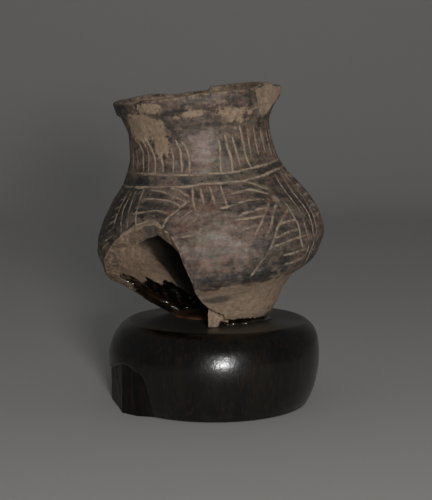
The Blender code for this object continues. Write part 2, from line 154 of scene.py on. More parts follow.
def bridge(startA, countA, startB, countB):
    # faces between two rings of the same count, or between a ring and one of half its count
    faces = []
    if countA == countB:
        for i in range(countA):
            j = (i + 1) % countA
            faces.append((startA + i, startA + j, startB + j, startB + i))
        return faces
    fine, coarse, count = (startA, startB, countB) if countA > countB else (startB, startA, countA)
    for i in range(count):
        j = (i + 1) % count
        a, b, c = fine + 2 * i, fine + 2 * i + 1, fine + (2 * i + 2) % (2 * count)
        faces += [(a, b, coarse + i), (b, c, coarse + j), (b, coarse + j, coarse + i)]
    return faces


# camera
view = {"place": (0.00089, -0.4578, 0.11323), "lookDown": 5.8186, "lens": 75.6}
camera = addObject("camera", bpy.data.cameras.new("camera"))
camera.location = view["place"]
camera.rotation_euler = (math.radians(90 - view["lookDown"]), 0, 0)
camera.data.lens = view["lens"]
camera.data.sensor_width = 36
camera.data.clip_start = 0.02
bpy.context.scene.camera = camera
print("camera placed")


# jar: its shape, in millimetres along its own leaning axis, measured from the widest circle
jar = {
    "centre": (-1.3, 0.0, 70.81), "leanLeft": 6.0, "leanFront": 5.0, "baseTop": 36.8,
    "profile": (
        (-40.95, 17.5), (-31.5, 24.3), (-28.0, 27.1), (-22.05, 31.6), (-16.07, 37.4), (-10.08, 45.6),
        (-4.1, 48.0), (0.0, 49.3), (2.9, 49.3), (8.12, 48.3), (13.92, 45.87), (20.01, 41.58), (29.0, 35.0),
        (37.97, 31.32), (44.02, 30.58), (48.5, 30.4), (50.5, 30.48), (54.9, 32.0), (59.6, 33.44), (65.3, 34.4),
    ),
    "wall": 4.6, "lipWall": 3.6, "lipDrop": 1.5, "footDepth": 31.5, "footRadius": 24.3, "footGap": 2.8,
    # degrees round, half width, how far it swells out, height and half height
    "swell": (-110, 65, 2.4, -25.2, 15.75),
    "sway": (-1.8, -17.01, 15.75),  # how far the foot sways to the left, at what height, and its half height
    "rimHeight": 65.3, "rimWave": 0.9, "bandProud": 1.0,
    "bandLobe": (-70, 24, 0.5),  # degrees round, half width, how far it stands proud
    "rimSwells": ((132, 40, 0.9), (66, 22, 1.5), (-32, 45, -0.6)),  # degrees round, half width, how high
    "wornRim": (168.5, 170.5, 196, 222, 1.5),  # degrees where it steps down, lies low and rises again; depth
    "lugAngle": 82, "lugSpread": 24, "lugProud": 2.2,
    "scarAngle": 58.5, "scarLength": 13.6, "scarDepth": 2.1,
    "uneven": 0.22, "columns": 560, "rows": 144, "breakRows": 9, "insideRows": 30, "lipRows": 4,
}
bandEdge = (  # degrees round, and the height where the rim band's lower edge lies
    (-180, 58.8), (-150, 59.4), (-120, 58.5), (-90, 58.3), (-69, 58.0), (-54, 58.5), (-45, 60.1), (-35, 59.0),
    (-26, 57.4), (-19, 59.2), (-7, 59.3), (3, 59.5), (16, 59.0), (28, 59.0), (40, 58.2), (60, 58.0), (90, 58.4),
    (120, 59.2), (150, 58.6), (180, 58.8),
)
breakPoints = (  # degrees round, and the height of the broken edge
    (-110, -30.1), (-102, -25.6), (-96, -21.2), (-88, -16.3), (-80, -11.8), (-72, -6.4), (-65, -0.5),
    (-56, 6.1), (-51, 9.4), (-46, 12.2), (-41, 13.8), (-34, 15.1), (-28, 16.0), (-23, 14.1), (-19.5, 12.2),
    (-16.5, 9.4), (-14, 4.9), (-12.5, 0.0), (-11, -4.4), (-8.6, -8.9), (-8, -14.8), (-6.5, -19.7),
    (-3.5, -22.9), (1, -25.1), (7, -26.9),
)
breakSlope = (  # degrees round, and how much lower the break lies on the inner wall
    (-104, 0.0), (-92, 0.6), (-84, 1.4), (-76, 3.0), (-60, 5.5), (-46, 6.8), (-40, 6.0), (-35, 5.2), (-26, 5.0),
    (-20, 5.4), (-17, 5.0), (-14.5, 4.2), (-12.5, 2.6), (-10, 0.7), (-7, 0.0),
)
insideShadeLine = (  # degrees round, and the height above which the inside is painted dark: painted shade for the shadow inside the jar
    (-180, -40), (-143, -34), (-141, -20), (-139.5, -12), (-136, -8.5), (-132, -7), (-128, -5.5), (-121, -2),
    (-110, 4), (-90, 12), (-60, 18), (-40, 12), (-20, -10), (0, -40), (180, -40),
)

noPlane = 1000.0  # a radius that nothing reaches
farFromLine = 3.0  # millimetres from a stroke at which its pale edge is long gone
tiltUp = Vector((-math.tan(math.radians(jar["leanLeft"])), -math.tan(math.radians(jar["leanFront"])), 1)).normalized()
tiltSide = (Vector((1, 0, 0)) - tiltUp * tiltUp.x).normalized()
tilt = np.array([tiltSide, tiltUp.cross(tiltSide), tiltUp]).T
profileAt = smoothCurve(jar["profile"])
bandEdgeAt = smoothCurve(bandEdge, 0.5)
arcHeights = np.arange(-41.0, 66.5, 0.1)
arcTable = np.concatenate([[0.0], np.cumsum(np.hypot(0.1, np.diff(profileAt(arcHeights))))])


def arcAt(height):
    return np.interp(height, arcHeights, arcTable)


def bodyRadius(angle, height):
    centre, spread, out, level, tall = jar["swell"]
    return profileAt(height) + out * bump(angle, centre, spread) * bump(height, level, tall, turn=False)


def scarPlane(angle, height):
    # the flat face that the lug left, as a radius
    foot = jar["rimHeight"] - jar["scarLength"]
    share = (height - foot) / jar["scarLength"]
    tip = float(profileAt(foot))
    top = profileAt(jar["rimHeight"]) + jar["bandProud"] - jar["scarDepth"]
    turn = np.cos(np.radians(angle - jar["scarAngle"]))
    flat = (tip + (top - tip) * share) / np.maximum(turn, 0.5)
    return np.where((turn > 0.5) & (share > 0), flat, noPlane)


def wholeRadius(angle, height):
    # the outside before the lug broke away
    edge = bandEdgeAt(wrap(angle))
    radius = bodyRadius(angle, height) + jar["bandProud"] * smoothStep(edge - 0.9, edge + 0.9, height)
    centre, spread, out = jar["bandLobe"]
    radius = radius + out * bump(angle, centre, spread) * smoothStep(edge - 1.0, edge + 1.5, height)
    foot = jar["rimHeight"] - jar["scarLength"]
    lug = bump(angle, jar["lugAngle"], jar["lugSpread"]) * smoothStep(foot, jar["rimHeight"], height)
    return radius + jar["lugProud"] * lug


def outerRadius(angle, height):
    return np.minimum(wholeRadius(angle, height), scarPlane(angle, height))


def innerRadius(angle, height):
    wall = jar["wall"] + (jar["lipWall"] - jar["wall"]) * smoothStep(48.5, jar["rimHeight"], height)
    return bodyRadius(angle, height) - wall


def rimTop(angle):
    # it dips to the left and right, is worn down in a step at the back, and nicked all round
    dip = jar["rimWave"] * (0.5 - 0.5 * np.cos(2 * np.radians(angle)))
    back = np.mod(angle, 360)
    stepDown, low, risesFrom, end, depth = jar["wornRim"]
    worn = depth * smoothStep(stepDown, low, back) * smoothStep(end, risesFrom, back)
    worn = worn * (1 + 0.12 * np.sin(np.radians(back * 19)))
    nicks = 0.096 * np.sin(np.radians(angle * 7)) + 0.06 * np.sin(np.radians(angle * 17 + 40))
    swells = sum(high * bump(angle, centre, spread) for centre, spread, high in jar["rimSwells"])
    return jar["rimHeight"] - dip - worn + nicks + swells


def jarPoint(angle, height, radius):
    turn = np.radians(angle)
    out, level, tall = jar["sway"]
    sway = out * bump(height, level, tall, turn=False)
    return np.stack([sway + radius * np.sin(turn), -radius * np.cos(turn), height + 0 * turn], -1)


def toWorld(points):
    return (np.asarray(points) @ tilt.T + np.array(jar["centre"])) * mm


def levelHeight(angle, radius, above):
    # where along the leaning jar a point lies that far above the base's top
    turn = np.radians(angle)
    flat = tilt[2][0] * radius * np.sin(turn) - tilt[2][1] * radius * np.cos(turn)
    return (jar["baseTop"] + above - jar["centre"][2] - flat) / tilt[2][2]


def brokenEdge(angle):
    # the height of its line, and how far it is chipped from that
    angle = wrap(angle)
    turn = np.radians(angle)
    spots = np.stack([3 * angle, 0 * angle, 0 * angle], -1)
    jag = 0.12 * jar["footGap"] * (np.sin(7 * turn) + np.sin(11 * turn + 1))
    foot = levelHeight(angle, jar["footRadius"], jar["footGap"] + jag)
    shown = np.interp(angle, *zip(*breakPoints))
    height = np.where((angle > breakPoints[0][0]) & (angle < breakPoints[-1][0]), shown, foot)
    chipped = waviness(spots, 24.0, 5) * 0.22 + waviness(spots, 9.0, 6) * 0.09
    return height, chipped


def breakInward(angle):
    return np.interp(wrap(angle), *zip(*breakSlope))


# jar: the strokes scratched through the slip
incised = {
    "width": 0.62, "depth": 0.42, "reach": 2.6, "leastRadius": 30.0,
    "hiddenBands": (107.3, 157.6, 207.9, 258.2),  # degrees round, where the bands stand that the front doesn't show
}


def strokePath(points, seed):
    # a drawn line through its points, in degrees and millimetres, with a hand's slight waver
    points = np.array(points, float)
    s = np.concatenate([[0.0], np.cumsum(np.hypot(np.diff(points[:, 0]) * 0.7, np.diff(points[:, 1])))])
    count = max(int(s[-1] / 1.1), 4)
    at = np.linspace(0, s[-1], count + 1)
    if len(points) > 2:
        turn = smoothCurve(list(zip(s, points[:, 0])), 0.1)(at)
        rise = smoothCurve(list(zip(s, points[:, 1])), 0.1)(at)
    else:
        turn, rise = np.interp(at, s, points[:, 0]), np.interp(at, s, points[:, 1])
    waver = 0.14 * np.sin(at * 0.45 + seed * 1.7) + 0.04 * np.sin(at * 1.3 + seed * 2.9)
    return turn + waver, arcAt(rise + waver * 0.6), s[-1]


def scratch(skin, points, seed):
    # cut one stroke: deepen the groove where it runs, and note how far each point of the skin is from its edge
    turn, arc, length = strokePath(points, seed)
    width = incised["width"] * (1 + 0.12 * math.sin(seed * 2.3))
    depth = incised["depth"] * (1 + 0.2 * math.sin(seed * 1.1))
    reach = incised["reach"]
    middle, half = (turn.min() + turn.max()) / 2, (turn.max() - turn.min()) / 2
    near = np.abs(wrap(skin["angle"] - middle)) < half + np.degrees(reach / incised["leastRadius"])
    near &= (skin["arc"] > arc.min() - reach) & (skin["arc"] < arc.max() + reach)
    hit = np.nonzero(near)[0]
    dx = np.radians(wrap(turn[None] - skin["angle"][hit][:, None])) * skin["radius"][hit][:, None]
    dy = arc[None] - skin["arc"][hit][:, None]
    vx, vy = np.diff(dx, axis=1), np.diff(dy, axis=1)
    share = np.clip(-(dx[:, :-1] * vx + dy[:, :-1] * vy) / (vx * vx + vy * vy + 1e-9), 0, 1)
    away = np.hypot(dx[:, :-1] + share * vx, dy[:, :-1] + share * vy)
    away = away + 99 * (np.abs(vx) > 20)  # not across the jar
    best = away.argmin(1)
    rows = np.arange(len(hit))
    away = away[rows, best]
    along = (best + share[rows, best]) / (len(turn) - 1)
    taper = np.clip(np.minimum(along, 1 - along) * length / 1.8 + 0.35, 0, 1)
    reachHalf = 0.5 * width * taper * (1 + 0.14 * np.sin(along * length * 0.9 + seed))
    skin["gap"][hit] = np.minimum(skin["gap"][hit], away - reachHalf)
    cut = depth * taper * np.clip(1 - (away / (reachHalf * 1.15)) ** 2, 0, 1)
    skin["groove"][hit] = np.maximum(skin["groove"][hit], cut)


def ringStrokes():
    # the two rings round the foot of the neck
    yield [(-180, 33.4), (-140, 33.4), (-110, 33.8), (-85, 34.3), (-72, 34.3), (-41.5, 34.5), (-23.4, 33.7),
           (-8.3, 33.2), (5.8, 32.9), (16.4, 32.5), (23.9, 32.3), (32.3, 32.7), (41.4, 32.8), (52.7, 33.0),
           (70, 33.2), (110, 33.4),
           (145, 33.3), (180, 33.4)]
    yield [(-180, 29.5), (-130, 29.2), (-90, 28.9), (-64.4, 29.0), (-48, 29.3), (-26, 29.4), (-15, 29.0),
           (-5, 29.0), (1.7, 29.2), (8.3, 29.1), (18.3, 28.7), (25.4, 28.6), (33.2, 28.8), (44.0, 29.0),
           (53.8, 29.6), (71.7, 30.0),
           (110, 29.6), (145, 29.7), (180, 29.5)]


def frontStrokes():
    yield from (  # down the neck
        [(-67, 45), (-66, 40), (-65, 36)], [(-60.7, 44), (-58.7, 40), (-58.4, 36.7)],
        [(-55.8, 47.7), (-50, 42.9), (-50.5, 40), (-48.7, 35.5)],
        [(-51.3, 49.8), (-44.5, 44.5), (-43.3, 40), (-42.8, 35.2)],
        [(-45.6, 49.8), (-40.5, 44.9), (-36.9, 40.8), (-36.1, 34.4)], [(-31.1, 41.1), (-29.7, 37.9), (-29, 34.7)],
        [(-22, 44.5), (-20.5, 40.4), (-20.4, 34.9)], [(-17.7, 47.5), (-14.7, 44.2), (-14.3, 39.4), (-14.2, 34.7)],
        [(-12.9, 47), (-10, 44.8), (-8.3, 40.7), (-8.3, 34)],
        [(14.1, 47), (15.3, 43.4), (14.7, 37.8), (13.7, 33.1)],
        [(20.3, 48.7), (21.6, 43), (22.7, 38), (21.5, 32.1)],
        [(26.6, 46.2), (28.2, 40.8), (28.5, 36), (28.4, 33.2)],
        [(34.7, 50.5), (35.4, 42.3), (35.7, 37), (37, 33.3)], [(41.8, 48.8), (41.2, 41.9), (40.4, 36.7)],
        [(48.7, 49.2), (49.1, 43.4), (48.3, 37.3)], [(58.4, 48.5), (57.8, 42.7), (57.9, 37.3)],
        [(67.5, 48), (67, 42), (66.6, 35)], [(-53.4, 39.2), (-56.8, 36.7)],
    )
    yield from (  # left band
        [(-43.7, 28.3), (-43.7, 25.5), (-43.1, 22.5), (-42.9, 20.3), (-42, 17.7), (-40.1, 15.6)],
        [(-50.6, 28.2), (-50.6, 25.8), (-50.1, 22.3), (-49.6, 20.2), (-47.6, 17.2), (-45.9, 14.3)],
        [(-56.2, 27.8), (-56, 24), (-56, 21.5), (-54.5, 18.8), (-52.4, 16.1), (-49.8, 12.8)],
        [(-61.7, 28), (-61.4, 24.1), (-60.3, 20.4), (-60, 17.9), (-58.5, 14)],
    )
    yield from (  # middle band, worn away below
        [(-6.9, 28), (-6.5, 24.5), (-6, 21.7), (-4.8, 19)], [(-1.6, 27.6), (-1, 24.2), (-0.4, 21.1)],
        [(4.2, 28), (5, 25), (5.8, 21.2)], [(11, 27.6), (11.7, 24.9), (12.2, 21.1)],
    )
    yield from (  # right band
        [(47.2, 18.8), (48.5, 16.3), (48.4, 12.9), (49.4, 9.7), (49.8, 6.2), (49.2, 2.2), (50, -0.9)],
        [(57.6, 28.4), (56.6, 25.5), (55.4, 22), (55.2, 18.5), (55.3, 15), (55.5, 10.8), (55.3, 6.6), (55.4, 2.4),
         (55.8, -1.9), (54.8, -5.2), (52.4, -6.5)],
        [(66, 28.6), (64.1, 25.3), (61.9, 20.8), (61.5, 16.2), (62.2, 11.8), (62.2, 7.5), (61.4, 3.5),
         (60.9, 0), (59.6, -5.3),
         (57.4, -9.2)],
        [(70.5, 28.4), (68.8, 22), (67.6, 15), (66.5, 8), (64.5, 1.3), (64.2, -2.2), (61.9, -5.6)],
    )
    yield from (  # left panel
        [(-37.5, 28.4), (-30.4, 27.9), (-24.4, 26.8), (-18.5, 25.6), (-13.1, 24.2), (-10.1, 23.2)],
        [(-22, 28.8), (-15.9, 27.7), (-12.5, 26.3), (-8.9, 25.2)],
        [(-42.4, 24.8), (-36.9, 25), (-31.7, 25), (-24.4, 24.3), (-19.9, 23.8), (-13.7, 22.1)],
        [(-45.6, 19.4), (-40.6, 20), (-34.7, 20.4), (-29, 20.7), (-24.1, 20.3), (-20.3, 19.7)],
        [(-40.6, 15.6), (-36.2, 16), (-33.3, 16.6), (-31.5, 17.4)],
        [(-8.6, 23.7), (-12.7, 22.1), (-17, 19.8), (-20.4, 18.2), (-22, 16.2), (-22.5, 14.9)],
        [(-6.5, 20.3), (-10.7, 18.7), (-13.6, 17), (-16.4, 15.7)], [(-3.5, 17.7), (-6.5, 16.4), (-9.7, 14.8)],
        [(-1, 11.7), (-6, 11), (-13.2, 10.9)],
    )
    yield from (  # right panel: the curved hatching, then the wedge
        [(27.2, 28.2), (34.8, 26.5), (39.2, 24.8), (44.1, 23.5)],
        [(15.7, 24.3), (22.5, 24.8), (29.3, 24.8), (35.2, 23.5), (41.1, 22)],
        [(7.6, 19.9), (12.3, 20.1), (19.4, 20.7), (26, 21.3), (32.3, 20.9), (37.3, 20)],
        [(16.8, 16), (20.3, 16.9), (24.2, 17), (29.4, 17.4), (34.2, 17.5)],
        [(13.2, 15), (17.4, 14.9), (22.2, 14.8), (26, 14.8), (30.4, 14.9)],
        [(16.2, 10.8), (21, 11.5), (25.6, 11.8)],
        [(38.5, 20.5), (37.5, 19.2), (33.5, 16.6), (29.8, 14.2), (27, 11.7), (24, 9.5), (22.7, 8.3)],
        [(45.1, 19.7), (39.9, 17), (35.3, 13.7), (32.1, 10.3), (28.7, 7.5), (27.5, 6.4)],
        [(48.1, 15.3), (43, 13.3), (38.6, 11), (35.6, 9.1), (32.2, 5.3), (30.2, 3), (28.6, 1.2), (26.4, -1.2),
         (23.8, -3.3),
         (22, -5.8), (19.7, -8.6)],
        [(37.6, 10.2), (42.5, 10.7), (47.3, 10.7), (49.7, 10.2)],
        [(33.2, 5.5), (37.5, 6.2), (42.6, 6.7), (49.4, 6.6)],
        [(30, 2), (33.4, 2.5), (38, 3), (43.6, 3.5), (53.5, 3.2)], [(36, -1.8), (42.5, -2.2), (54, -2.5)],
        [(39, -6.1), (43.8, -6.3), (52, -6.2)],
    )
    yield from (  # short marks beyond the outer bands
        [(-63, 24.8), (-68.5, 23.3)], [(-60.5, 21.6), (-69, 20.3)], [(-61.3, 19), (-68, 16.3)],
        [(-58.3, 17), (-65, 14.5), (-69, 12.5)],
        [(-57.2, 14), (-65, 11)], [(-56.1, 11), (-64.4, 8)], [(-58.9, 8), (-66.7, 4.6)], [(-66, 2), (-73, -1)],
        [(71, 26.5), (82, 25)], [(69, 22), (75, 22), (86, 20)], [(68, 17.4), (75.2, 18), (84, 16.6)],
        [(67, 12.5), (74, 13.2), (82, 12)], [(66.5, 8.5), (73, 9.2), (80, 8.5)], [(67, 4.5), (73, 4.8), (80, 3.8)],
    )


def hiddenStrokes():
    # the same scheme carried on round the sides and the back: bands, and hatching between them
    bands = incised["hiddenBands"]
    for k in range(34):
        angle = 75 + k * 6.5
        high = 47.5 + 1.8 * math.sin(5.0 * k)
        yield [(angle, 33.8), (angle - 0.8 + 1.2 * math.sin(3.0 * k), 41), (angle - 1.2, high)]
    for index, centre in enumerate(bands):
        for line in range(4):
            start = centre + 5.2 * (line - 1.5)
            low = (-8, -7, -8.5, -8)[line] if index < 3 else -3.0
            yield [(start, 28.6), (start + 2.0, 20), (start + 2.6, 9), (start + 1.6, low)]
    for index, right in enumerate(tuple(bands) + (301.5,)):
        left = (57.0,) + tuple(bands)
        left = left[index] + 11.0
        right -= 9.5
        wide = right - left
        for k, height in enumerate((26.6, 24.2, 20.4, 17.0, 14.2, 11.0)):
            far = left + wide * (0.86 - 0.13 * k)
            yield [(left + 1.5, height), ((left + far) / 2, height + 0.9), (far, height - 0.4)]
        for k in range(3):
            yield [
                (right - 2.0, 22.5 - 4.0 * k), (right - wide * 0.33, 17.5 - 4.6 * k),
                (right - wide * (0.62 - 0.06 * k), 8.5 - 5.0 * k),
                (right - wide * (0.72 - 0.05 * k), 3.0 - 5.0 * k),
            ]
        for k, height in enumerate((9.6, 6.4, 2.8, -1.6, -5.4)):
            yield [(right - wide * (0.30 + 0.05 * k), height - 0.8), (right - 0.5, height)]


# jar: where the slip is lost, sooty or painted with shade, or rubbed and painted with a sheen; degrees, millimetres,
# half widths, strength
clayFields = {
    "bareClay": (
        (-52, 53.5, 17, 6.5, 0.95), (-30, 50, 9, 6, 0.8), (-30, 44.5, 7.5, 5, 0.8), (-40, 56, 14, 2.6, 0.8),
        (-32.5, 61.2, 8.5, 2.3, 1.1), (36, 55, 13, 3.6, 0.75), (20, 57.2, 11, 1.8, 0.6), (3, 58, 7, 1.4, 0.5),
        (44, 49.5, 7, 2.5, 0.35), (-8, 60.8, 8, 1.2, 0.35), (20, 61, 10, 1.4, 0.3), (-38, 17.5, 11, 2.6, 0.75),
        (-66, 3, 5, 6, 0.4), (95, 54, 14, 4, 0.5), (150, 50, 16, 6, 0.55), (-130, 53, 18, 5, 0.6),
        (-150, 10, 12, 7, 0.5), (120, 16, 9, 6, 0.45), (-170, 38, 8, 4, 0.4), (78, 45, 5, 4, 0.3),
        (-4, 57.2, 8, 1.8, 0.9), (-13, 56.5, 5, 1.4, 0.4), (34.5, -7.5, 3.8, 2.4, 0.6),
        (43.5, 20.0, 2.6, 1.8, 0.55), (77, 25.8, 6, 0.9, 0.75), (79, 21.6, 6, 0.9, 0.75),
        (78, 17.6, 6, 0.9, 0.75), (77, 12.9, 6, 0.9, 0.7), (76, 9.0, 5, 0.9, 0.6),
    ),
    # dark marks of soot, and painted shade where a recess lies in shade, such as the mark at 58 degrees, 50.5 mm
    # under the scar's tip
    "soot": (
        (-21, 51.5, 7, 2.6, 0.8), (-8, 53, 8, 2.2, 0.5), (0, 51.5, 9, 2.6, 0.6), (10, 51, 9, 3, 0.55),
        (18, 53.5, 8, 2.4, 0.5), (-13, 48.5, 6, 2, 0.5), (-76, 61.5, 15, 4, 0.9), (-60, 62, 9, 2.5, 0.5),
        (16, -8.2, 30, 2.6, 1.1), (-5, -4.5, 9, 1.8, 0.4), (27, 3, 8, 5, 0.6), (31, -3.5, 10, 4.4, 0.75),
        (44, 4, 12, 8, 0.35), (58, 14, 10, 14, 0.3), (8, 31.2, 60, 1.6, 0.6), (-50, 31.5, 20, 2, 0.7),
        (-52, 22, 14, 8, 0.8), (-33, 21, 12, 6, 0.7), (30, 20, 18, 7, 0.4), (-72, 8, 14, 14, 0.8),
        (-75, 26, 10, 12, 0.5), (-58, 12, 9, 8, 0.4), (70, -4, 16, 6, 0.5), (4.5, -18.8, 12, 1.8, 1.2),
        (22, -16.5, 12, 1.0, 0.6), (-4, -13.5, 6, 1.2, 0.5), (110, 0, 20, 8, 0.6), (-140, 25, 22, 8, 0.5),
        (160, 5, 25, 9, 0.6), (-100, 40, 18, 8, 0.5), (170, 56, 22, 4, 0.5), (58, 50.5, 6, 2.4, 1.1),
        (42.5, 60.0, 3, 4.0, 0.9), (64, 51.5, 5, 1.6, 0.8), (-30, 57.6, 6, 1.6, 1.0), (-70, 61, 8, 4, 0.9),
        (-95, 61, 20, 4, 0.7), (-12, 62.5, 20, 1.6, 0.35), (25, 62.0, 22, 1.6, 0.4),
    ),
    # worn slip, with painted sheen: the strong patch at 2 degrees, 44 mm on the neck is painted paler where the
    # burnished slip catches the light
    "rubbedAndSheen": (
        (2, 44, 10, 9, 1.25), (0, 36.5, 8, 2.4, 0.8), (2, 14, 11, 7, 0.65), (4, 5, 13, 8, 0.5), (-9, 6, 7, 9, 0.4),
        (18, 9, 8, 6, 0.4), (-24, 22, 8, 3, 0.2), (100, 44, 12, 7, 0.4), (-155, 45, 12, 7, 0.5),
        (175, 12, 12, 8, 0.5),
    ),
}


def fieldOf(name, angle, height):
    total = 0 * angle
    for centre, level, wide, tall, strength in clayFields[name]:
        total = total + strength * np.exp(-(wrap(angle - centre) / wide) ** 2 - ((height - level) / tall) ** 2)
    return total


rowsPerMm = (  # height, and how many rows of faces to a millimetre there
    (-31, 1.0), (-8, 1.0), (-7.5, 1.65), (14, 1.65), (14.5, 2.0), (28.4, 2.0), (28.6, 2.35), (34.6, 2.35),
    (34.8, 1.65), (49, 1.65), (49.5, 1.25), (63.8, 1.25),
)
chips = (  # degrees round, height, half width, depth
    (19, -26.0, 1.1, 0.8), (27, -24.0, 0.8, 0.6), (59, 62.0, 0.8, 0.4), (58, 50.8, 1.3, 0.7),
    (53, 53.0, 0.9, 0.5), (-25, 38.5, 0.7, 0.3), (8, -23.5, 0.9, 0.4), (-30, 57.2, 1.0, 0.4),
)


def spread(at, dense, count, closed=False):
    # places spaced so that they lie close together where dense is high
    total = np.concatenate([[0.0], np.cumsum((dense[1:] + dense[:-1]) / 2)])
    return np.interp(np.linspace(0, total[-1], count, endpoint=not closed), total, at)


def columnAngles():
    # close together in front, closest by the steep side of the break, wider apart behind
    at = np.linspace(-180, 180, 7201)
    front, behind = 1 / 0.53, 1 / 0.87
    dense = behind + (front - behind) * smoothStep(103, 95, np.abs(at))
    dense = dense + smoothStep(-27, -24, at) * smoothStep(-1, -4, at)
    return spread(at, dense, jar["columns"], closed=True)


def rowHeights():
    at = np.linspace(63.8, -31.0, 2000)
    return spread(at, np.interp(at, *zip(*rowsPerMm)), jar["rows"])


def scarShare(angle, height):
    # how far the lug's breaking tore the skin away, none to all: a triangle that narrows down to its tip
    up = np.clip((height - jar["rimHeight"] + jar["scarLength"]) / jar["scarLength"], 0, 1)
    lug = jar["lugProud"] * bump(angle, jar["lugAngle"], jar["lugSpread"])
    past = bodyRadius(angle, height) + 0.8 * up ** 0.6 + lug - scarPlane(angle, height)
    left, right = 59.5 - 14 * up ** 0.8, 60.5 + 34 * up ** 0.8
    return np.clip(past / 0.2, 0, 1) * np.clip(angle - left, 0, 1) * np.clip(right - angle, 0, 1)


def outerSkin(angle, height, edge):
    # the outside's radius with strokes and chips cut in, and what the clay's material reads of it
    skin = {"angle": angle, "height": height, "radius": outerRadius(angle, height), "arc": arcAt(height)}
    skin["gap"] = np.full(len(angle), farFromLine)
    skin["groove"] = np.zeros(len(angle))
    for seed, points in enumerate([*ringStrokes(), *frontStrokes(), *hiddenStrokes()]):
        scratch(skin, points, seed)
    rubbedAndSheen, lost = fieldOf("rubbedAndSheen", angle, height), fieldOf("bareClay", angle, height)
    wear = np.clip(0.9 * rubbedAndSheen + 0.5 * lost - 0.25, 0, 1)
    scar = scarShare(angle, height)
    radius = skin["radius"] - skin["groove"] * (1 - 0.75 * wear) * (1 - scar)
    for centre, level, wide, deep in chips:
        across = np.radians(wrap(angle - centre)) * radius
        radius = radius - deep * np.exp(-(across ** 2 + (height - level) ** 2) / wide ** 2)
    alongBreak = np.exp(-((height - edge) / 1.1) ** 2) * (0.5 + 0.9 * bump(angle, -40, 34))
    lowBody = smoothStep(-9.5, -14.5, height) * 0.95
    # painted shade: a dark line just under the rim band's lower edge, where the band's step is in shade, added to the
    # soot mark
    underBandShade = np.exp(-((height - bandEdgeAt(wrap(angle)) + 0.5) / 0.55) ** 2)
    return radius, {
        "lineGap": skin["gap"] + 0.75 * wear,
        "bareClay": np.clip(np.maximum(lost, lowBody) + alongBreak + 1.3 * scar, 0, 1.3),
        "soot": np.clip(fieldOf("soot", angle, height) + 0.4 * underBandShade, 0, 1.2),
        "rubbedAndSheen": np.clip(rubbedAndSheen, 0, 1.2),
    }


def roughen(points, inner, broken, lip):
    # a hand-built unevenness all over, and a coarse grain on the broken clay
    radial = points * np.array([1, 1, 0])
    radial /= np.linalg.norm(radial, axis=1)[:, None]
    uneven = waviness(points, 26, 1) * 0.9 + waviness(points, 9, 2) * 0.35 + waviness(points, 3.5, 3) * 0.14
    lumps = waviness(points * np.array([1, 1, 2.2]), 11, 4)
    points = points + radial * (jar["uneven"] * (uneven + lumps * inner))[:, None]
    grain = waviness(points, 5.0, 7) * 0.16 + waviness(points, 2.6, 8) * 0.07
    lift = radial * 0.6 + np.array([0, 0, 0.8]) * (1 - lip)[:, None]
    return points + lift * (grain * broken * (1 - inner * 0.7))[:, None]


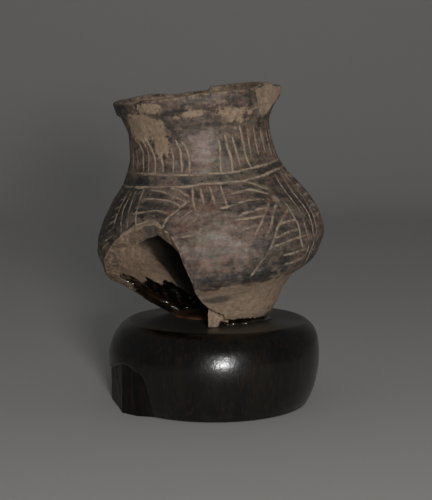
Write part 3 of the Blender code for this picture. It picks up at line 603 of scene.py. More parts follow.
def buildJar(material):
    angle = columnAngles()
    top = rimTop(angle)
    line, chipped = brokenEdge(angle)
    edge = line + chipped
    rings, marks = [], []

    def addRing(turn, height, radius, **mark):
        rings.append((turn, height, radius))
        marks.append(mark)

    outTop, inTop = outerRadius(angle, top - 1.2), innerRadius(angle, top - 1.2)
    lipMiddle, lipHalf = (outTop + inTop) / 2, (outTop - inTop) / 2

    def addLip(k, side):
        turn = k / jar["lipRows"] * math.pi / 2
        addRing(angle, top - jar["lipDrop"] * (1 - math.cos(turn)), lipMiddle + side * lipHalf * math.sin(turn),
                lip=1.0 - 0.2 * k)

    for k in range(jar["lipRows"]):  # over the lip, from its crest to the outside
        addLip(k, 1)

    nominal = rowHeights()[:, None]  # down the outside, the lower rows squeezed to end along the broken edge
    anchor = np.minimum(edge + 5 + 0.15 * (edge + 31), 60)
    high = nominal + (top - jar["rimHeight"]) * smoothStep(56, 63.8, nominal)
    squeezed = edge + (nominal - nominal[-1]) / (anchor - nominal[-1]) * (anchor - edge)
    heights = np.where(nominal > anchor, high, squeezed)
    angles, edges = (np.broadcast_to(row, heights.shape).ravel() for row in (angle, edge))
    radii, fields = outerSkin(angles, heights.ravel(), edges)
    for k, height in enumerate(heights):
        addRing(angle, height, radii.reshape(heights.shape)[k],
                **{key: value.reshape(heights.shape)[k] for key, value in fields.items()})

    bevel = breakInward(angle)
    edgeIn = line - bevel
    outEdge, inEdge = outerRadius(angle, edge), innerRadius(angle, edgeIn)
    for k in range(1, jar["breakRows"] + 1):  # across the broken wall
        share = k / (jar["breakRows"] + 1)
        drop = line - bevel * share ** 1.2 + chipped * (1 - share) ** 2 - 0.35 * math.sin(math.pi * share)
        addRing(angle, drop, outEdge + (inEdge - outEdge) * share, brokenClay=1.0, soot=0.62 * bump(angle, -33, 30))

    half = angle[::2]
    for share in np.linspace(0, 1, jar["insideRows"]):  # up the inner wall
        height = edgeIn[::2] + (62.8 - edgeIn[::2]) * share
        # painted shade: above its shade line the inner wall gets the dark soot mark, standing in for the shadow
        # inside the jar
        insideShaded = height - np.interp(wrap(half), *zip(*insideShadeLine))
        addRing(half, height, innerRadius(half, height), inside=1.0, brokenClay=max(0.0, 1 - share * 14),
                soot=smoothStep(-1.0, 5.0, insideShaded) * smoothStep(62, 54, height))
    for k in range(jar["lipRows"] - 1, 0, -1):  # and back over the lip
        addLip(k, -1)

    points = np.concatenate([jarPoint(*ring) for ring in rings])
    standing = {"lineGap": farFromLine}
    attributes = {key: np.concatenate([
        np.broadcast_to(mark.get(key, standing.get(key, 0.0)), ring[0].shape) for ring, mark in zip(rings, marks)
    ]) for key in ("lineGap", "bareClay", "soot", "rubbedAndSheen", "brokenClay", "inside", "lip")}
    attributes["bareClay"] = np.clip(attributes["bareClay"] + attributes["lip"], 0, 1.3)
    points = roughen(points, attributes["inside"], attributes["brokenClay"], attributes["lip"])
    starts, total, faces = [], 0, []
    for ring in rings:
        starts.append((total, len(ring[0])))
        total += len(ring[0])
    for a, b in zip(starts, starts[1:] + starts[:1]):
        faces += bridge(*a, *b)
    return meshFrom("jar_body", toWorld(points), faces, material, attributes)


def makeClay():
    # low-fired earthenware under a burnished slip: a soft satin skin, matt and sandy where it has worn to the clay
    material, tree, shader = startMaterial("burnished slip on earthenware")
    paint = {
        # the worn slip's colour is painted paler and cooler as a painted sheen; the darkest colour also paints the
        # shade inside the jar
        "sootDark": "#2b2927", "soot": "#433d39", "slipBrown": "#64564c", "slipPale": "#7a6a5e", "rubbedAndSheen": "#8f857d",
        "redTint": "#ffdfd6", "greyTint": "#eff8ea", "clay": "#8a7560", "clayPale": "#a18b75", "line": "#a9957f",
        "broken": "#5e4d40", "brokenPale": "#977f69", "insideDull": "#8a7665", "inside": "#ab9077",
    }
    paint = {key: hexToLinear(value) for key, value in paint.items()}
    place = addNode(tree, "ShaderNodeTexCoord").outputs["Object"]
    flat = addNode(tree, "ShaderNodeMapping", {"Vector": place, "Scale": (1, 1, 4)}).outputs[0]
    value = {"whole": 1.0}
    for name, where, size, detail, rough in (  # sizes in millimetres
        ("broad", place, 24, 6, 0.72), ("mottle", place, 9, 9, 0.76), ("fine", place, 1.9, 5, 0.72),
        ("sand", place, 0.7, 2, 0.72), ("streak", flat, 9, 8, 0.74), ("blush", flat, 8, 6, 0.70),
    ):
        value[name] = addNode(tree, "ShaderNodeTexNoise", {
            "Vector": where, "Scale": perMetre(size), "Detail": detail, "Roughness": rough}).outputs["Fac"]
    value["pits"] = addNode(tree, "ShaderNodeTexVoronoi", {"Vector": place, "Scale": perMetre(2.1)})
    value["pits"] = value["pits"].outputs["Distance"]
    for name in ("lineGap", "bareClay", "soot", "rubbedAndSheen", "brokenClay", "inside"):
        value[name] = addNode(tree, "ShaderNodeAttribute", attribute_name=name).outputs["Fac"]
    for name, total, parts in (  # sums: a first number, then each part with its weight
        ("tone", -0.008, (("mottle", 0.44), ("fine", 0.20), ("streak", 0.36), ("rubbedAndSheen", 0.07), ("soot", -0.07))),
        ("bareSum", 0.0, (("bareClay", 1.0), ("mottle", 2.6), ("fine", 1.3))),
        ("paleSum", 0.0, (("mottle", 0.5), ("fine", 0.5))),
        ("lineSum", 0.0, (("lineGap", 1.0), ("fine", 2.4), ("mottle", 2.4))),
        ("redSum", 0.0, (("blush", 1.0), ("soot", -0.12))),
        ("brokenSum", 0.0, (("brokenClay", 1.0), ("fine", 0.4))),
        ("pitSum", 0.0, (("pits", 1.0), ("mottle", 0.35))),
        ("stainSum", 0.0, (("soot", 1.0), ("mottle", 1.6), ("fine", 0.8))),
    ):
        for part, weight in parts:
            total = addNode(tree, "ShaderNodeMath", {0: value[part], 1: weight, 2: total},
                            operation="MULTIPLY_ADD").outputs[0]
        value[name] = total
    for name, source, low, high, least, most in (  # shares: what each goes by, its range, and its least and most
        ("red", "redSum", 0.48, 0.62, 0, 0.9), ("grey", "broad", 0.48, 0.58, 0, 0.8),
        ("bare", "bareSum", 2.36, 2.56, 0, 1), ("claySandy", "paleSum", 0.42, 0.60, 0, 1),
        ("lines", "lineSum", 2.63, 2.14, 0, 0.92), ("broken", "brokenSum", 0.50, 0.80, 0, 1),
        ("brokenSandy", "fine", 0.42, 0.66, 0, 1), ("insideSandy", "paleSum", 0.42, 0.56, 0, 1),
        ("stain", "stainSum", 1.55, 1.95, 0, 0.75), ("inner", "inside", 0, 1, 0, 0.95),
        # the inside above its shade line is painted dark: painted shade
        ("insideShade", "soot", 0, 1, 0, 0.96), ("pitted", "pitSum", 0.27, 0.22, 0, 0.6),
        ("shade", "fine", 0.3, 0.7, 0.82, 1.18),
    ):
        value[name] = addNode(tree, "ShaderNodeMapRange", {
            0: value[source], 1: low, 2: high, 3: least, 4: most}).outputs[0]
    for name, one, other, how in (
        ("raw", "bare", "broken", "MAXIMUM"), ("stained", "raw", "stain", "MULTIPLY"),
        ("insideShaded", "inner", "insideShade", "MULTIPLY"), ("matt", "raw", "lines", "MAXIMUM"),
    ):
        value[name] = addNode(tree, "ShaderNodeMath", {0: value[one], 1: value[other]}, operation=how).outputs[0]
    ramp = addNode(tree, "ShaderNodeValToRGB", {"Fac": value["tone"]})
    steps = ((0.37, "sootDark"), (0.44, "soot"), (0.49, "slipBrown"), (0.55, "slipPale"), (0.63, "rubbedAndSheen"))
    for index, (spot, name) in enumerate(steps):
        stop = ramp.color_ramp.elements[index] if index < 2 else ramp.color_ramp.elements.new(spot)
        stop.position, stop.color = spot, paint[name]
    paint["slip"], paint["shade"] = ramp.outputs[0], value["shade"]
    for name, under, over, share, how in (  # each coat of colour over the one before
        ("clay", "clay", "clayPale", "claySandy", "MIX"), ("broken", "broken", "brokenPale", "brokenSandy", "MIX"),
        ("inside", "insideDull", "inside", "insideSandy", "MIX"), ("slip", "slip", "redTint", "red", "MULTIPLY"),
        ("slip", "slip", "greyTint", "grey", "MULTIPLY"), ("slip", "slip", "clay", "bare", "MIX"),
        ("slip", "slip", "line", "lines", "MIX"), ("slip", "slip", "broken", "broken", "MIX"),
        ("slip", "slip", "soot", "stained", "MIX"), ("slip", "slip", "inside", "inner", "MIX"),
        # painted shade: the inside's upper wall darkened with the darkest colour
        ("slip", "slip", "sootDark", "insideShaded", "MIX"), ("slip", "slip", "shade", "whole", "MULTIPLY"),
        ("slip", "slip", "sootDark", "pitted", "MIX"),
    ):
        paint[name] = addNode(tree, "ShaderNodeMix", {0: value[share], 6: paint[under], 7: paint[over]},
                              data_type="RGBA", blend_type=how).outputs[2]
    tree.links.new(paint["slip"], shader.inputs["Base Color"])
    gloss = addNode(tree, "ShaderNodeMath", {0: value["fine"], 1: 0.25, 2: value["matt"]}, operation="MULTIPLY_ADD")
    gloss = addNode(tree, "ShaderNodeMath", {0: value["rubbedAndSheen"], 1: -0.25, 2: gloss.outputs[0]},
                    operation="MULTIPLY_ADD")
    gloss = addNode(tree, "ShaderNodeMapRange", {0: gloss.outputs[0], 1: -0.25, 2: 1.1, 3: 0.43, 4: 0.92})
    tree.links.new(gloss.outputs[0], shader.inputs["Roughness"])
    shader.inputs["IOR"].default_value = 1.45
    ground = addNode(tree, "ShaderNodeBump", {"Height": value["fine"], "Strength": 0.6, "Distance": 0.00045})
    relief = addNode(tree, "ShaderNodeBump", {
        "Height": value["sand"], "Strength": 0.5, "Distance": 0.00018, "Normal": ground.outputs[0]})
    tree.links.new(relief.outputs[0], shader.inputs["Normal"])
    return material


clayMaterial = makeClay()
jarBody = buildJar(clayMaterial)
print("jar built", sum(len(face.vertices) - 2 for face in jarBody.data.polygons), "triangles")


# wooden base: turned, with an unfinished flat left low at the left
base = {
    "height": 36.8, "radius": 46.3, "topShift": 1.2, "hollow": 0.25, "columns": 340, "rows": 150,
    "grain": 1.3, "figure": 7, "gloss": (0.20, 0.29), "dustAndSheenFrom": 36.2,  # the wood's pattern, roughness, and the top painted paler for dust and a painted reflection
    # share of the way along the turned outline, radius and height in millimetres
    "outline": (
        (0.0, 0.3, 0.0), (0.10, 39.0, 0.02), (0.14, 40.6, 0.25), (0.20, 41.7, 1.8), (0.27, 43.6, 5.8),
        (0.36, 45.3, 12.1), (0.46, 46.3, 20.2), (0.56, 45.5, 26.9), (0.64, 43.5, 32.0), (0.70, 40.9, 35.0),
        (0.76, 38.3, 36.45), (0.82, 35.2, 36.8), (1.0, 0.3, 36.85),
    ),
    # the flaw: the line of its top (degrees, height), and its flat faces (degrees, distance)
    "flawTop": ((-128, 0), (-122, 9), (-114, 13.6), (-88, 15.2), (-75, 17.0), (-65, 19.6), (-56, 21.6), (-50, 20.9),
                (-46, 19.6), (-42, 18.8), (-39.5, 17.2), (-38, 14.2), (-37, 10), (-36, 0)),
    "flats": ((-104, 44.8), (-75, 43.6), (-40, 43.3)),
}


def turnedTree():
    tree = bpy.data.node_groups.new("turnedBase", "GeometryNodeTree")
    face = tree.interface
    face.new_socket("Geometry", in_out="OUTPUT", socket_type="NodeSocketGeometry")
    for name, kind in (("Height", "NodeSocketFloat"), ("Radius", "NodeSocketFloat"), ("Rows", "NodeSocketInt"),
                       ("Columns", "NodeSocketInt"), ("Wood", "NodeSocketMaterial")):
        face.new_socket(name, in_out="INPUT", socket_type=kind)
    given = addNode(tree, "NodeGroupInput").outputs
    line = addNode(tree, "GeometryNodeCurvePrimitiveLine", {"Start": (0, 0, 0), "End": (0, 0, 1)}).outputs[0]
    line = addNode(tree, "GeometryNodeResampleCurve", {"Curve": line, "Count": given["Rows"]},
                   mode="COUNT").outputs[0]
    last = addNode(tree, "ShaderNodeMath", {0: given["Rows"], 1: 1.0}, operation="SUBTRACT").outputs[0]
    index = addNode(tree, "GeometryNodeInputIndex").outputs[0]
    along = addNode(tree, "ShaderNodeMath", {0: index, 1: last}, operation="DIVIDE").outputs[0]
    shares = []
    for column, scale in ((1, base["radius"]), (2, base["height"])):
        curve = addNode(tree, "ShaderNodeFloatCurve", {"Value": along})
        points = curve.mapping.curves[0].points
        wanted = [(row[0], row[column] / scale / 1.01) for row in base["outline"]]
        points[0].location, points[1].location = wanted[0], wanted[-1]
        for spot in wanted[1:-1]:
            points.new(*spot)
        for point in points:
            point.handle_type = "AUTO_CLAMPED"
        curve.mapping.update()
        shares.append(curve.outputs[0])
    reach = addNode(tree, "ShaderNodeMath", {0: shares[0], 1: given["Radius"]}, operation="MULTIPLY").outputs[0]
    rise = addNode(tree, "ShaderNodeMath", {0: shares[1], 1: given["Height"]}, operation="MULTIPLY").outputs[0]
    spot = addNode(tree, "ShaderNodeCombineXYZ", {"Z": rise}).outputs[0]
    line = addNode(tree, "GeometryNodeSetPosition", {"Geometry": line, "Position": spot}).outputs[0]
    ring = addNode(tree, "GeometryNodeCurvePrimitiveCircle", {
        "Resolution": given["Columns"], "Radius": 1.0}).outputs[0]
    body = addNode(tree, "GeometryNodeCurveToMesh", {
        "Curve": line, "Profile Curve": ring, "Scale": reach, "Fill Caps": True}).outputs[0]
    body = addNode(tree, "GeometryNodeRealizeInstances", {"Geometry": body}).outputs[0]
    body = addNode(tree, "GeometryNodeSetMaterial", {"Geometry": body, "Material": given["Wood"]}).outputs[0]
    addNode(tree, "NodeGroupOutput", {"Geometry": body})
    return tree


def growFrom(name, tree, values):
    made = addObject(name, bpy.data.meshes.new(name))
    grow = made.modifiers.new(name, "NODES")
    grow.node_group = tree
    for item in tree.interface.items_tree:
        if item.in_out == "INPUT" and item.name in values:
            grow[item.identifier] = values[item.name]
    made.update_tag()
    return bakeModifiers(made)


def buildBase(material):
    made = growFrom("base_body", turnedTree(), {
        "Height": base["height"] * 1.01 * mm, "Radius": base["radius"] * 1.01 * mm,
        "Rows": base["rows"], "Columns": base["columns"], "Wood": material,
    })
    mesh = made.data
    points = pointsOf(mesh)
    x, y, z = points.T
    angle, radius = np.degrees(np.arctan2(x, -y)), np.hypot(x, y)
    flats = [distance / np.cos(np.radians(np.clip(angle - facing, -60, 60))) for facing, distance in base["flats"]]
    flat = np.min(flats, axis=0) + 0.10 * waviness(points, 9, 21)
    ends = smoothStep(-124, -108, angle) * smoothStep(-37, -48, angle)
    flat = np.minimum(flat, radius) + np.maximum(flat - radius, 0) * ends
    flawTop = np.interp(angle, *zip(*base["flawTop"])) + 0.2 * np.sin(np.radians(angle * 9))
    inFlaw = smoothStep(flawTop + 0.35, flawTop - 0.35, z) * smoothStep(33, 40, radius)
    ridge = np.exp(-((z - flawTop - 0.7) / 0.7) ** 2) * (radius > 36) * bump(angle, -72, 34)
    radius2 = radius + (flat - radius) * inFlaw + 0.2 * ridge
    scale = np.where(radius > 1e-3, radius2 / np.maximum(radius, 1e-3), 1.0)
    shift = base["topShift"] * smoothStep(0.55 * base["height"], base["height"], z)
    points = np.stack([x * scale + shift, y * scale, z], -1)
    points[:, 2] += 0.05 * waviness(points, 30, 23) * smoothStep(36, 36.5, z)
    points[:, 2] += base["hollow"] * smoothStep(38, 24, radius) * (z < 1)  # the underside is turned slightly hollow
    mesh.vertices.foreach_set("co", (points * mm).ravel())
    layer = mesh.attributes.new("flaw", "FLOAT", "POINT")
    layer.data.foreach_set("value", inFlaw.astype(np.float32))
    faceOutwards(mesh)
    return made


def makeWood():
    # close-grained wood, turned, stained nearly black and polished: fine upright grain under a wet-looking coat
    material, tree, shader = startMaterial("stained and polished hardwood")
    # the last colour, a pale grey, is dust and a painted reflection on the top
    dark, warm, red, dustAndSheen = [hexToLinear(colour) for colour in ("#060504", "#15110a", "#2c190d", "#8a8578")]
    place = addNode(tree, "ShaderNodeTexCoord").outputs["Object"]
    upright = addNode(tree, "ShaderNodeMapping", {"Vector": place, "Scale": (1, 1, 0.09)}).outputs[0]
    pores = addNode(tree, "ShaderNodeTexNoise", {
        "Vector": upright, "Scale": perMetre(base["grain"]), "Detail": 5, "Roughness": 0.65})
    figure = addNode(tree, "ShaderNodeTexNoise", {
        "Vector": upright, "Scale": perMetre(base["figure"]), "Detail": 3, "Distortion": 0.6})
    wear = addNode(tree, "ShaderNodeTexNoise", {"Vector": place, "Scale": perMetre(15), "Detail": 5})
    share = addNode(tree, "ShaderNodeMapRange", {0: figure.outputs["Fac"], 1: 0.42, 2: 0.68}).outputs[0]
    colour = addNode(tree, "ShaderNodeMix", {0: share, 6: dark, 7: warm}, data_type="RGBA").outputs[2]
    share = addNode(tree, "ShaderNodeMapRange", {0: pores.outputs["Fac"], 1: 0.52, 2: 0.72, 4: 0.8}).outputs[0]
    colour = addNode(tree, "ShaderNodeMix", {0: share, 6: colour, 7: red}, data_type="RGBA").outputs[2]
    rough = addNode(tree, "ShaderNodeMapRange", {
        0: wear.outputs["Fac"], 1: 0.35, 2: 0.7, 3: base["gloss"][0], 4: base["gloss"][1]}).outputs[0]
    level = addNode(tree, "ShaderNodeSeparateXYZ", {0: place}).outputs["Z"]
    # dust, and painted reflection: the flat top is made rougher and paler, the paleness standing in for the
    # backdrop's sheen on it
    dustAndSheenShare = addNode(tree, "ShaderNodeMapRange", {
        0: level, 1: base["dustAndSheenFrom"] * mm, 2: base["height"] * mm, 4: 0.20}).outputs[0]
    rough = addNode(tree, "ShaderNodeMath", {0: rough, 1: dustAndSheenShare}, operation="ADD").outputs[0]
    flaw = addNode(tree, "ShaderNodeAttribute", attribute_name="flaw").outputs["Fac"]
    rough = addNode(tree, "ShaderNodeMath", {0: flaw, 1: 0.25, 2: rough}, operation="MULTIPLY_ADD").outputs[0]
    shine = addNode(tree, "ShaderNodeMapRange", {0: flaw, 3: 0.5, 4: 0.22}).outputs[0]  # the flaw was never polished
    tree.links.new(shine, shader.inputs["Specular IOR Level"])
    # painted reflection and dust: the top is mixed towards a pale grey
    colour = addNode(tree, "ShaderNodeMix", {0: dustAndSheenShare, 6: colour, 7: dustAndSheen}, data_type="RGBA").outputs[2]
    tree.links.new(colour, shader.inputs["Base Color"])
    tree.links.new(rough, shader.inputs["Roughness"])
    shader.inputs["IOR"].default_value = 1.52
    polish = addNode(tree, "ShaderNodeTexNoise", {"Vector": place, "Scale": perMetre(1.6), "Detail": 2})
    relief = addNode(tree, "ShaderNodeBump", {"Height": pores.outputs["Fac"], "Strength": 0.25, "Distance": 0.0001})
    relief = addNode(tree, "ShaderNodeBump", {
        "Height": polish.outputs["Fac"], "Strength": 0.4, "Distance": 0.00018, "Normal": relief.outputs[0]})
    tree.links.new(relief.outputs[0], shader.inputs["Normal"])
    return material


woodMaterial = makeWood()
baseBody = buildBase(woodMaterial)
print("base built", sum(len(face.vertices) - 2 for face in baseBody.data.polygons), "triangles")


# resin: a run inside the break, a bead under the front of the foot, and the old disc on the base
resin = {
    "runTop": ((-170, -30.6), (-155, -29.5), (-147, -27.0), (-142, -23.8), (-137, -20.8), (-134, -18.8),
               (-130, -19.8), (-125, -20.0), (-121, -18.4), (-118, -16.3), (-114, -16.4), (-108, -16.8),
               (-104, -16.0), (-100, -13.0),
               (-98, -11.2), (-94, -11.6), (-90, -12.2), (-86, -12.6), (-83, -12.8)),
    "runFrom": -168, "runTo": -83, "runSteps": 128, "runThick": 1.7, "runFace": 12, "runRadius": 26.0,
    # lumps on the run: degrees, height, half width, how far they swell
    "runLumps": ((-112, -20.8, 2.0, 2.0), (-121, -20.6, 1.7, 1.9), (-119, -24.4, 1.9, 2.1), (-107, -26.6, 2.4, 2.4),
                 (-103, -22.8, 2.2, 1.3), (-97, -20.0, 2.6, 1.3), (-135, -24.5, 2.2, 1.4),
                 (-99, -14.6, 1.8, 0.7), (-116, -18.6, 1.7, 1.2),
                 (-133, -28.0, 2.4, 1.5), (-115, -29.0, 2.4, 1.9), (-148, -29.0, 2.5, 1.2), (-90, -15.6, 2.0, 0.8)),
    "beadFrom": 6, "beadTo": 76, "beadWide": 5.6, "beadHigh": 2.1, "beadSteps": 60,
    "padRadius": 17.5, "padHigh": 1.0, "padPlace": (-2.0, 8.75),
}


def makeResin(name, colours, gloss, coat, lump, lift):
    # epoxy gone brown: a hard wet gloss, darkened towards the back by painted shade
    material, tree, shader = startMaterial(name)
    place = addNode(tree, "ShaderNodeTexCoord").outputs["Object"]
    cloud = addNode(tree, "ShaderNodeTexNoise", {"Vector": place, "Scale": perMetre(5), "Detail": 4})
    share = addNode(tree, "ShaderNodeMapRange", {0: cloud.outputs["Fac"], 1: 0.42, 2: 0.64}).outputs[0]
    colour = addNode(tree, "ShaderNodeMix", {0: share, 6: hexToLinear(colours[0]), 7: hexToLinear(colours[1])},
                     data_type="RGBA").outputs[2]
    # painted shade: the third colour darkens the resin towards the back, where it lies in the jar's shadow
    shadeTowardsBack = addNode(tree, "ShaderNodeSeparateXYZ", {0: place}).outputs["Y"]
    share = addNode(tree, "ShaderNodeMapRange", {0: shadeTowardsBack, 1: 0.009, 2: 0.017}).outputs[0]
    colour = addNode(tree, "ShaderNodeMix", {0: share, 6: colour, 7: hexToLinear(colours[2])},
                     data_type="RGBA").outputs[2]
    tree.links.new(colour, shader.inputs["Base Color"])
    shader.inputs["Roughness"].default_value = gloss
    shader.inputs["IOR"].default_value = 1.55
    shader.inputs["Coat Weight"].default_value = coat
    shader.inputs["Coat Roughness"].default_value = 0.04
    ripples = addNode(tree, "ShaderNodeTexNoise", {"Vector": place, "Scale": perMetre(lump), "Detail": 2})
    relief = addNode(tree, "ShaderNodeBump", {"Height": ripples.outputs["Fac"], "Strength": 0.9, "Distance": lift})
    tree.links.new(relief.outputs[0], shader.inputs["Normal"])
    return material


def loft(name, sections, material, smooth=1):
    # a closed skin over sections of equal count, its two ends capped
    count = len(sections[0])
    faces = []
    for k in range(len(sections) - 1):
        faces += bridge(k * count, count, (k + 1) * count, count)
    last = (len(sections) - 1) * count
    faces += [tuple(range(count)), tuple(last + i for i in range(count))]
    made = meshFrom(name, np.concatenate(sections), faces, material)
    if smooth:
        soften = made.modifiers.new("soften", "SUBSURF")
        soften.levels = soften.render_levels = smooth
        bakeModifiers(made)
        made.data.shade_smooth()
    return made


def lumpy(made, sizes):
    # swell a finished skin here and there along its normals
    mesh = made.data
    points, normals = pointsOf(mesh), np.empty(len(mesh.vertices) * 3)
    mesh.vertex_normals.foreach_get("vector", normals)
    normals = normals.reshape(-1, 3)
    lift = sum(deep * waviness(points, size, seed) for size, deep, seed in sizes)
    mesh.vertices.foreach_set("co", ((points + normals * lift[:, None]) * mm).ravel())
    mesh.update()
    return made


def runBulge(angle, height):
    total = 0 * height
    for centre, level, wide, high in resin["runLumps"]:
        across = np.radians(wrap(angle - centre)) * resin["runRadius"]
        total = total + high * np.exp(-(across ** 2 + (height - level) ** 2) / (0.6 * wide ** 2))
    return total


def buildRun(material):
    top = smoothCurve(resin["runTop"], 0.5)
    start, end = resin["runFrom"], resin["runTo"]
    face = np.linspace(0, 1, resin["runFace"])
    sections = []
    for angle in np.linspace(start, end, resin["runSteps"]):
        here = np.array([angle])
        share = (angle - start) / (end - start)
        full = math.sin(math.pi * min(max(share, 0.02), 0.98)) ** 0.35
        cover = float(smoothStep(-83.5, -94, angle) * smoothStep(-120, -112, angle))  # it laps over the broken edge
        if angle > -112:
            line = brokenEdge(here)[0].item()
            low = line - breakInward(here).item()
        else:
            line = low = float(levelHeight(angle, jar["footRadius"] - jar["wall"], 1.2))
        high = max(float(top(angle)) + 0.35 * math.sin(angle * 0.9), low + 2.0)
        heights = high + (low - high) * face
        bulge = (resin["runThick"] * np.sin(np.pi * (0.06 + 0.62 * face)) ** 0.8 + runBulge(angle, heights)) * full
        radii = innerRadius(here, heights) - bulge
        radii[0] = innerRadius(here, heights[0]) + 0.3
        wall, out = innerRadius(here, low).item(), outerRadius(here, line).item()
        lap = 1.2 * cover * full + 0.15
        back = low + 0.3 * (high - low) + 0.4
        deep = max(wall + 1.6, innerRadius(here, back).item() + 0.9)  # well inside the wall, clear of its own skin
        radii = np.append(radii, (
            wall + 0.4, wall + 0.4 + (out - wall - 0.5) * cover, wall + 1.0 + (out - wall - 1.7) * cover,
            deep, innerRadius(here, high).item() + 1.4))
        heights = np.append(heights, (
            low - lap, low - lap + (line - low + 0.3) * cover, low + 0.5 + (line - low) * cover,
            back, high - 0.2))
        sections.append(toWorld(jarPoint(np.full(len(radii), angle), heights, radii)))
    return lumpy(loft("resin_run", sections, material), ((3.0, 0.10, 33),))


def buildBead(material):
    middle = np.array(jar["centre"]) + tilt @ np.array([0, 0, -jar["footDepth"]])
    sections = []
    for share in np.linspace(0, 1, resin["beadSteps"]):
        angle = math.radians(resin["beadFrom"] + (resin["beadTo"] - resin["beadFrom"]) * share)
        full = math.sin(math.pi * min(max(share, 0.03), 0.97)) ** 0.45
        wide = resin["beadWide"] * full * (1 + 0.12 * math.sin(share * 21)) / 2
        high = resin["beadHigh"] * full * (1 + 0.1 * math.sin(share * 15 + 1))
        reach = jar["footRadius"] - 0.45 * jar["wall"] + 0.4 * math.sin(share * 9)
        ring = []
        for turn in np.linspace(0, 2 * math.pi, 12, endpoint=False):
            out = reach + wide * math.cos(turn)
            rise = jar["baseTop"] + 0.05 + high * max(math.sin(turn), 0.0) ** 0.8
            ring.append((middle[0] + out * math.sin(angle), middle[1] - out * math.cos(angle), rise))
        sections.append(np.array(ring) * mm)
    return loft("resin_under_foot", sections, material)


def buildPad(material):
    rings = []
    turns = np.linspace(0, 2 * np.pi, 96, endpoint=False)
    for share, lift in ((0.99, 0.0), (1.0, 0.12), (0.985, 0.45), (0.95, 0.78), (0.88, 0.95), (0.7, 1.0), (0.45, 0.98),
                        (0.22, 1.0), (0.03, 1.0)):
        reach = resin["padRadius"] * share * (1 + 0.03 * np.sin(3 * turns + 1) + 0.02 * np.sin(5 * turns)
                                              + 0.012 * np.sin(13 * turns + 2))
        spots = np.stack([resin["padPlace"][0] + reach * np.sin(turns), resin["padPlace"][1] - reach * np.cos(turns),
                          np.full(len(turns), jar["baseTop"] + 0.1 + lift * resin["padHigh"])], -1)
        spots[:, 2] += lift * 0.10 * waviness(spots, 6, 31)
        rings.append(spots * mm)
    return loft("resin_disc", rings, material, smooth=0)


# the third colour of each resin is painted shade, laid on towards the back
glossyResin = makeResin("browned epoxy, run and set", ("#0a0806", "#281909", "#050403"), 0.09, 1.0, 2.2, 0.0016)
dullResin = makeResin("old adhesive, rubbed dull", ("#3c2818", "#643f26", "#4a301d"), 0.42, 0.1, 3.0, 0.0005)
resinRun = buildRun(glossyResin)
resinBead = buildBead(glossyResin)
resinDisc = buildPad(dullResin)
print("resin built")


# loose sherd under the foot
sherd = {
    "from": -4.0, "to": 10.5, "steps": 18, "thick": 2.8, "crack": 0.55,
    "lift": 2.1, "liftFrom": 2.4, "liftTo": 4.2,
}


def buildSherd(material):
    # it stands under the foot's left corner, tall there and running out to a thin tongue on the right
    sections = []
    for angle in np.linspace(sherd["from"], sherd["to"], sherd["steps"]):
        edge = brokenEdge(np.array([angle]))[0]
        outside = toWorld(jarPoint(np.array([angle]), edge, outerRadius(np.array([angle]), edge)))[0] / mm
        high = outside[2] - sherd["crack"]
        low = jar["baseTop"] + 0.12 + sherd["lift"] * float(smoothStep(sherd["liftFrom"], sherd["liftTo"], angle))
        low = min(low, high - 1.0)
        back = np.array([-math.sin(math.radians(angle)), math.cos(math.radians(angle)), 0])
        ring = []
        for depth, rise in ((0.15, 0.0), (0.0, 0.18), (0.06, 0.5), (0.0, 0.82), (0.12, 1.0), (0.6, 1.0),
                            (1.0, 0.9), (1.0, 0.1), (0.7, 0.0)):
            spot = outside + back * (0.25 + sherd["thick"] * depth)
            spot[2] = low + (high - low) * rise
            ring.append(spot)
        sections.append(np.array(ring) * mm)
    return lumpy(loft("loose_sherd", sections, material), ((2.5, 0.10, 41), (1.2, 0.05, 42)))


def makeBareClay():
    # the same clay with no slip, broken and sandy: pale, matt, speckled with grit
    material, tree, shader = startMaterial("broken earthenware")
    place = addNode(tree, "ShaderNodeTexCoord").outputs["Object"]
    cloud = addNode(tree, "ShaderNodeTexNoise", {"Vector": place, "Scale": perMetre(1.6), "Detail": 4})
    share = addNode(tree, "ShaderNodeMapRange", {0: cloud.outputs["Fac"], 1: 0.35, 2: 0.65}).outputs[0]
    colour = addNode(tree, "ShaderNodeMix", {0: share, 6: hexToLinear("#7d6855"), 7: hexToLinear("#a18b75")},
                     data_type="RGBA").outputs[2]
    tree.links.new(colour, shader.inputs["Base Color"])
    shader.inputs["Roughness"].default_value = 0.9
    relief = addNode(tree, "ShaderNodeBump", {"Height": cloud.outputs["Fac"], "Strength": 0.7, "Distance": 0.0004})
    tree.links.new(relief.outputs[0], shader.inputs["Normal"])
    return material


bareMaterial = makeBareClay()
looseSherd = buildSherd(bareMaterial)
print("sherd built")


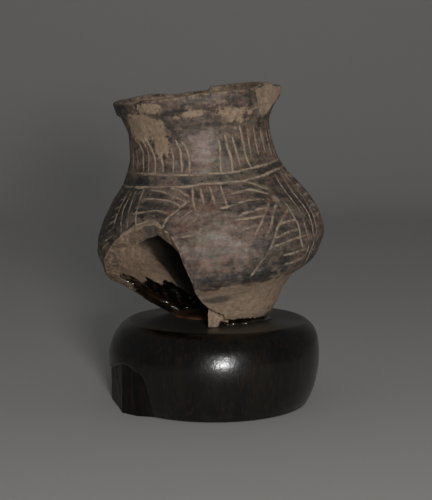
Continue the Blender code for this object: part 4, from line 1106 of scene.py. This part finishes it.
# floor and light
studio = {
    "floor": "#e6e3de", "world": "#dde0e6", "worldStrength": 0.105,
    "keyAim": (0, 0, 0.07), "keyTurn": 9, "keyRise": 4.5, "keyAway": 0.85,
    "keyWide": 0.14, "keyTall": 0.105, "keyPower": 3.85,
}


def buildFloor():
    mesh = bpy.data.meshes.new("floor")
    rows = [(-2.0, 0.0), (1.1, 0.0)]
    rows += [(1.1 + 0.6 * math.sin(t), 0.6 - 0.6 * math.cos(t)) for t in np.radians(np.arange(7.5, 91, 7.5))]
    rows.append((1.7, 3.0))
    verts = [(x, y, z) for y, z in rows for x in (-3.0, 3.0)]
    faces = [(2 * i, 2 * i + 1, 2 * i + 3, 2 * i + 2) for i in range(len(rows) - 1)]
    mesh.from_pydata(verts, [], faces)
    mesh.shade_smooth()
    material, _, shader = startMaterial("matt backdrop paper")
    shader.inputs["Base Color"].default_value = hexToLinear(studio["floor"])
    shader.inputs["Roughness"].default_value = 0.95
    shader.inputs["Specular IOR Level"].default_value = 0.1
    mesh.materials.append(material)
    return addObject("floor", mesh)


def addKey():
    data = bpy.data.lights.new("key", "AREA")
    data.shape = "ELLIPSE"
    data.size, data.size_y, data.energy = studio["keyWide"], studio["keyTall"], studio["keyPower"]
    made = addObject("key", data)
    turn, rise = math.radians(studio["keyTurn"]), math.radians(studio["keyRise"])
    back = Vector((math.sin(turn) * math.cos(rise), -math.cos(turn) * math.cos(rise), math.sin(rise)))
    made.location = Vector(studio["keyAim"]) + back * studio["keyAway"]
    made.rotation_euler = (-back).to_track_quat("-Z", "Y").to_euler()


floor = buildFloor()
addKey()
world = bpy.data.worlds.new("studio")
world.use_nodes = True
world.node_tree.nodes["Background"].inputs[0].default_value = hexToLinear(studio["world"])
world.node_tree.nodes["Background"].inputs[1].default_value = studio["worldStrength"]
bpy.context.scene.world = world
bpy.context.scene.view_settings.view_transform = "Standard"
print("floor and light ready")


# attach the pieces to the frame, and hide the parts they take the place of
for piece, node in ((jarBody, "jar"), (baseBody, "wood_base"), (resinRun, "resin_fill"), (resinBead, "resin_bead"),
                    (resinDisc, "resin_pad"), (looseSherd, "foot_sherd")):
    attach(piece, "root")
    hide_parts(node)

print("pieces ride on the frame")
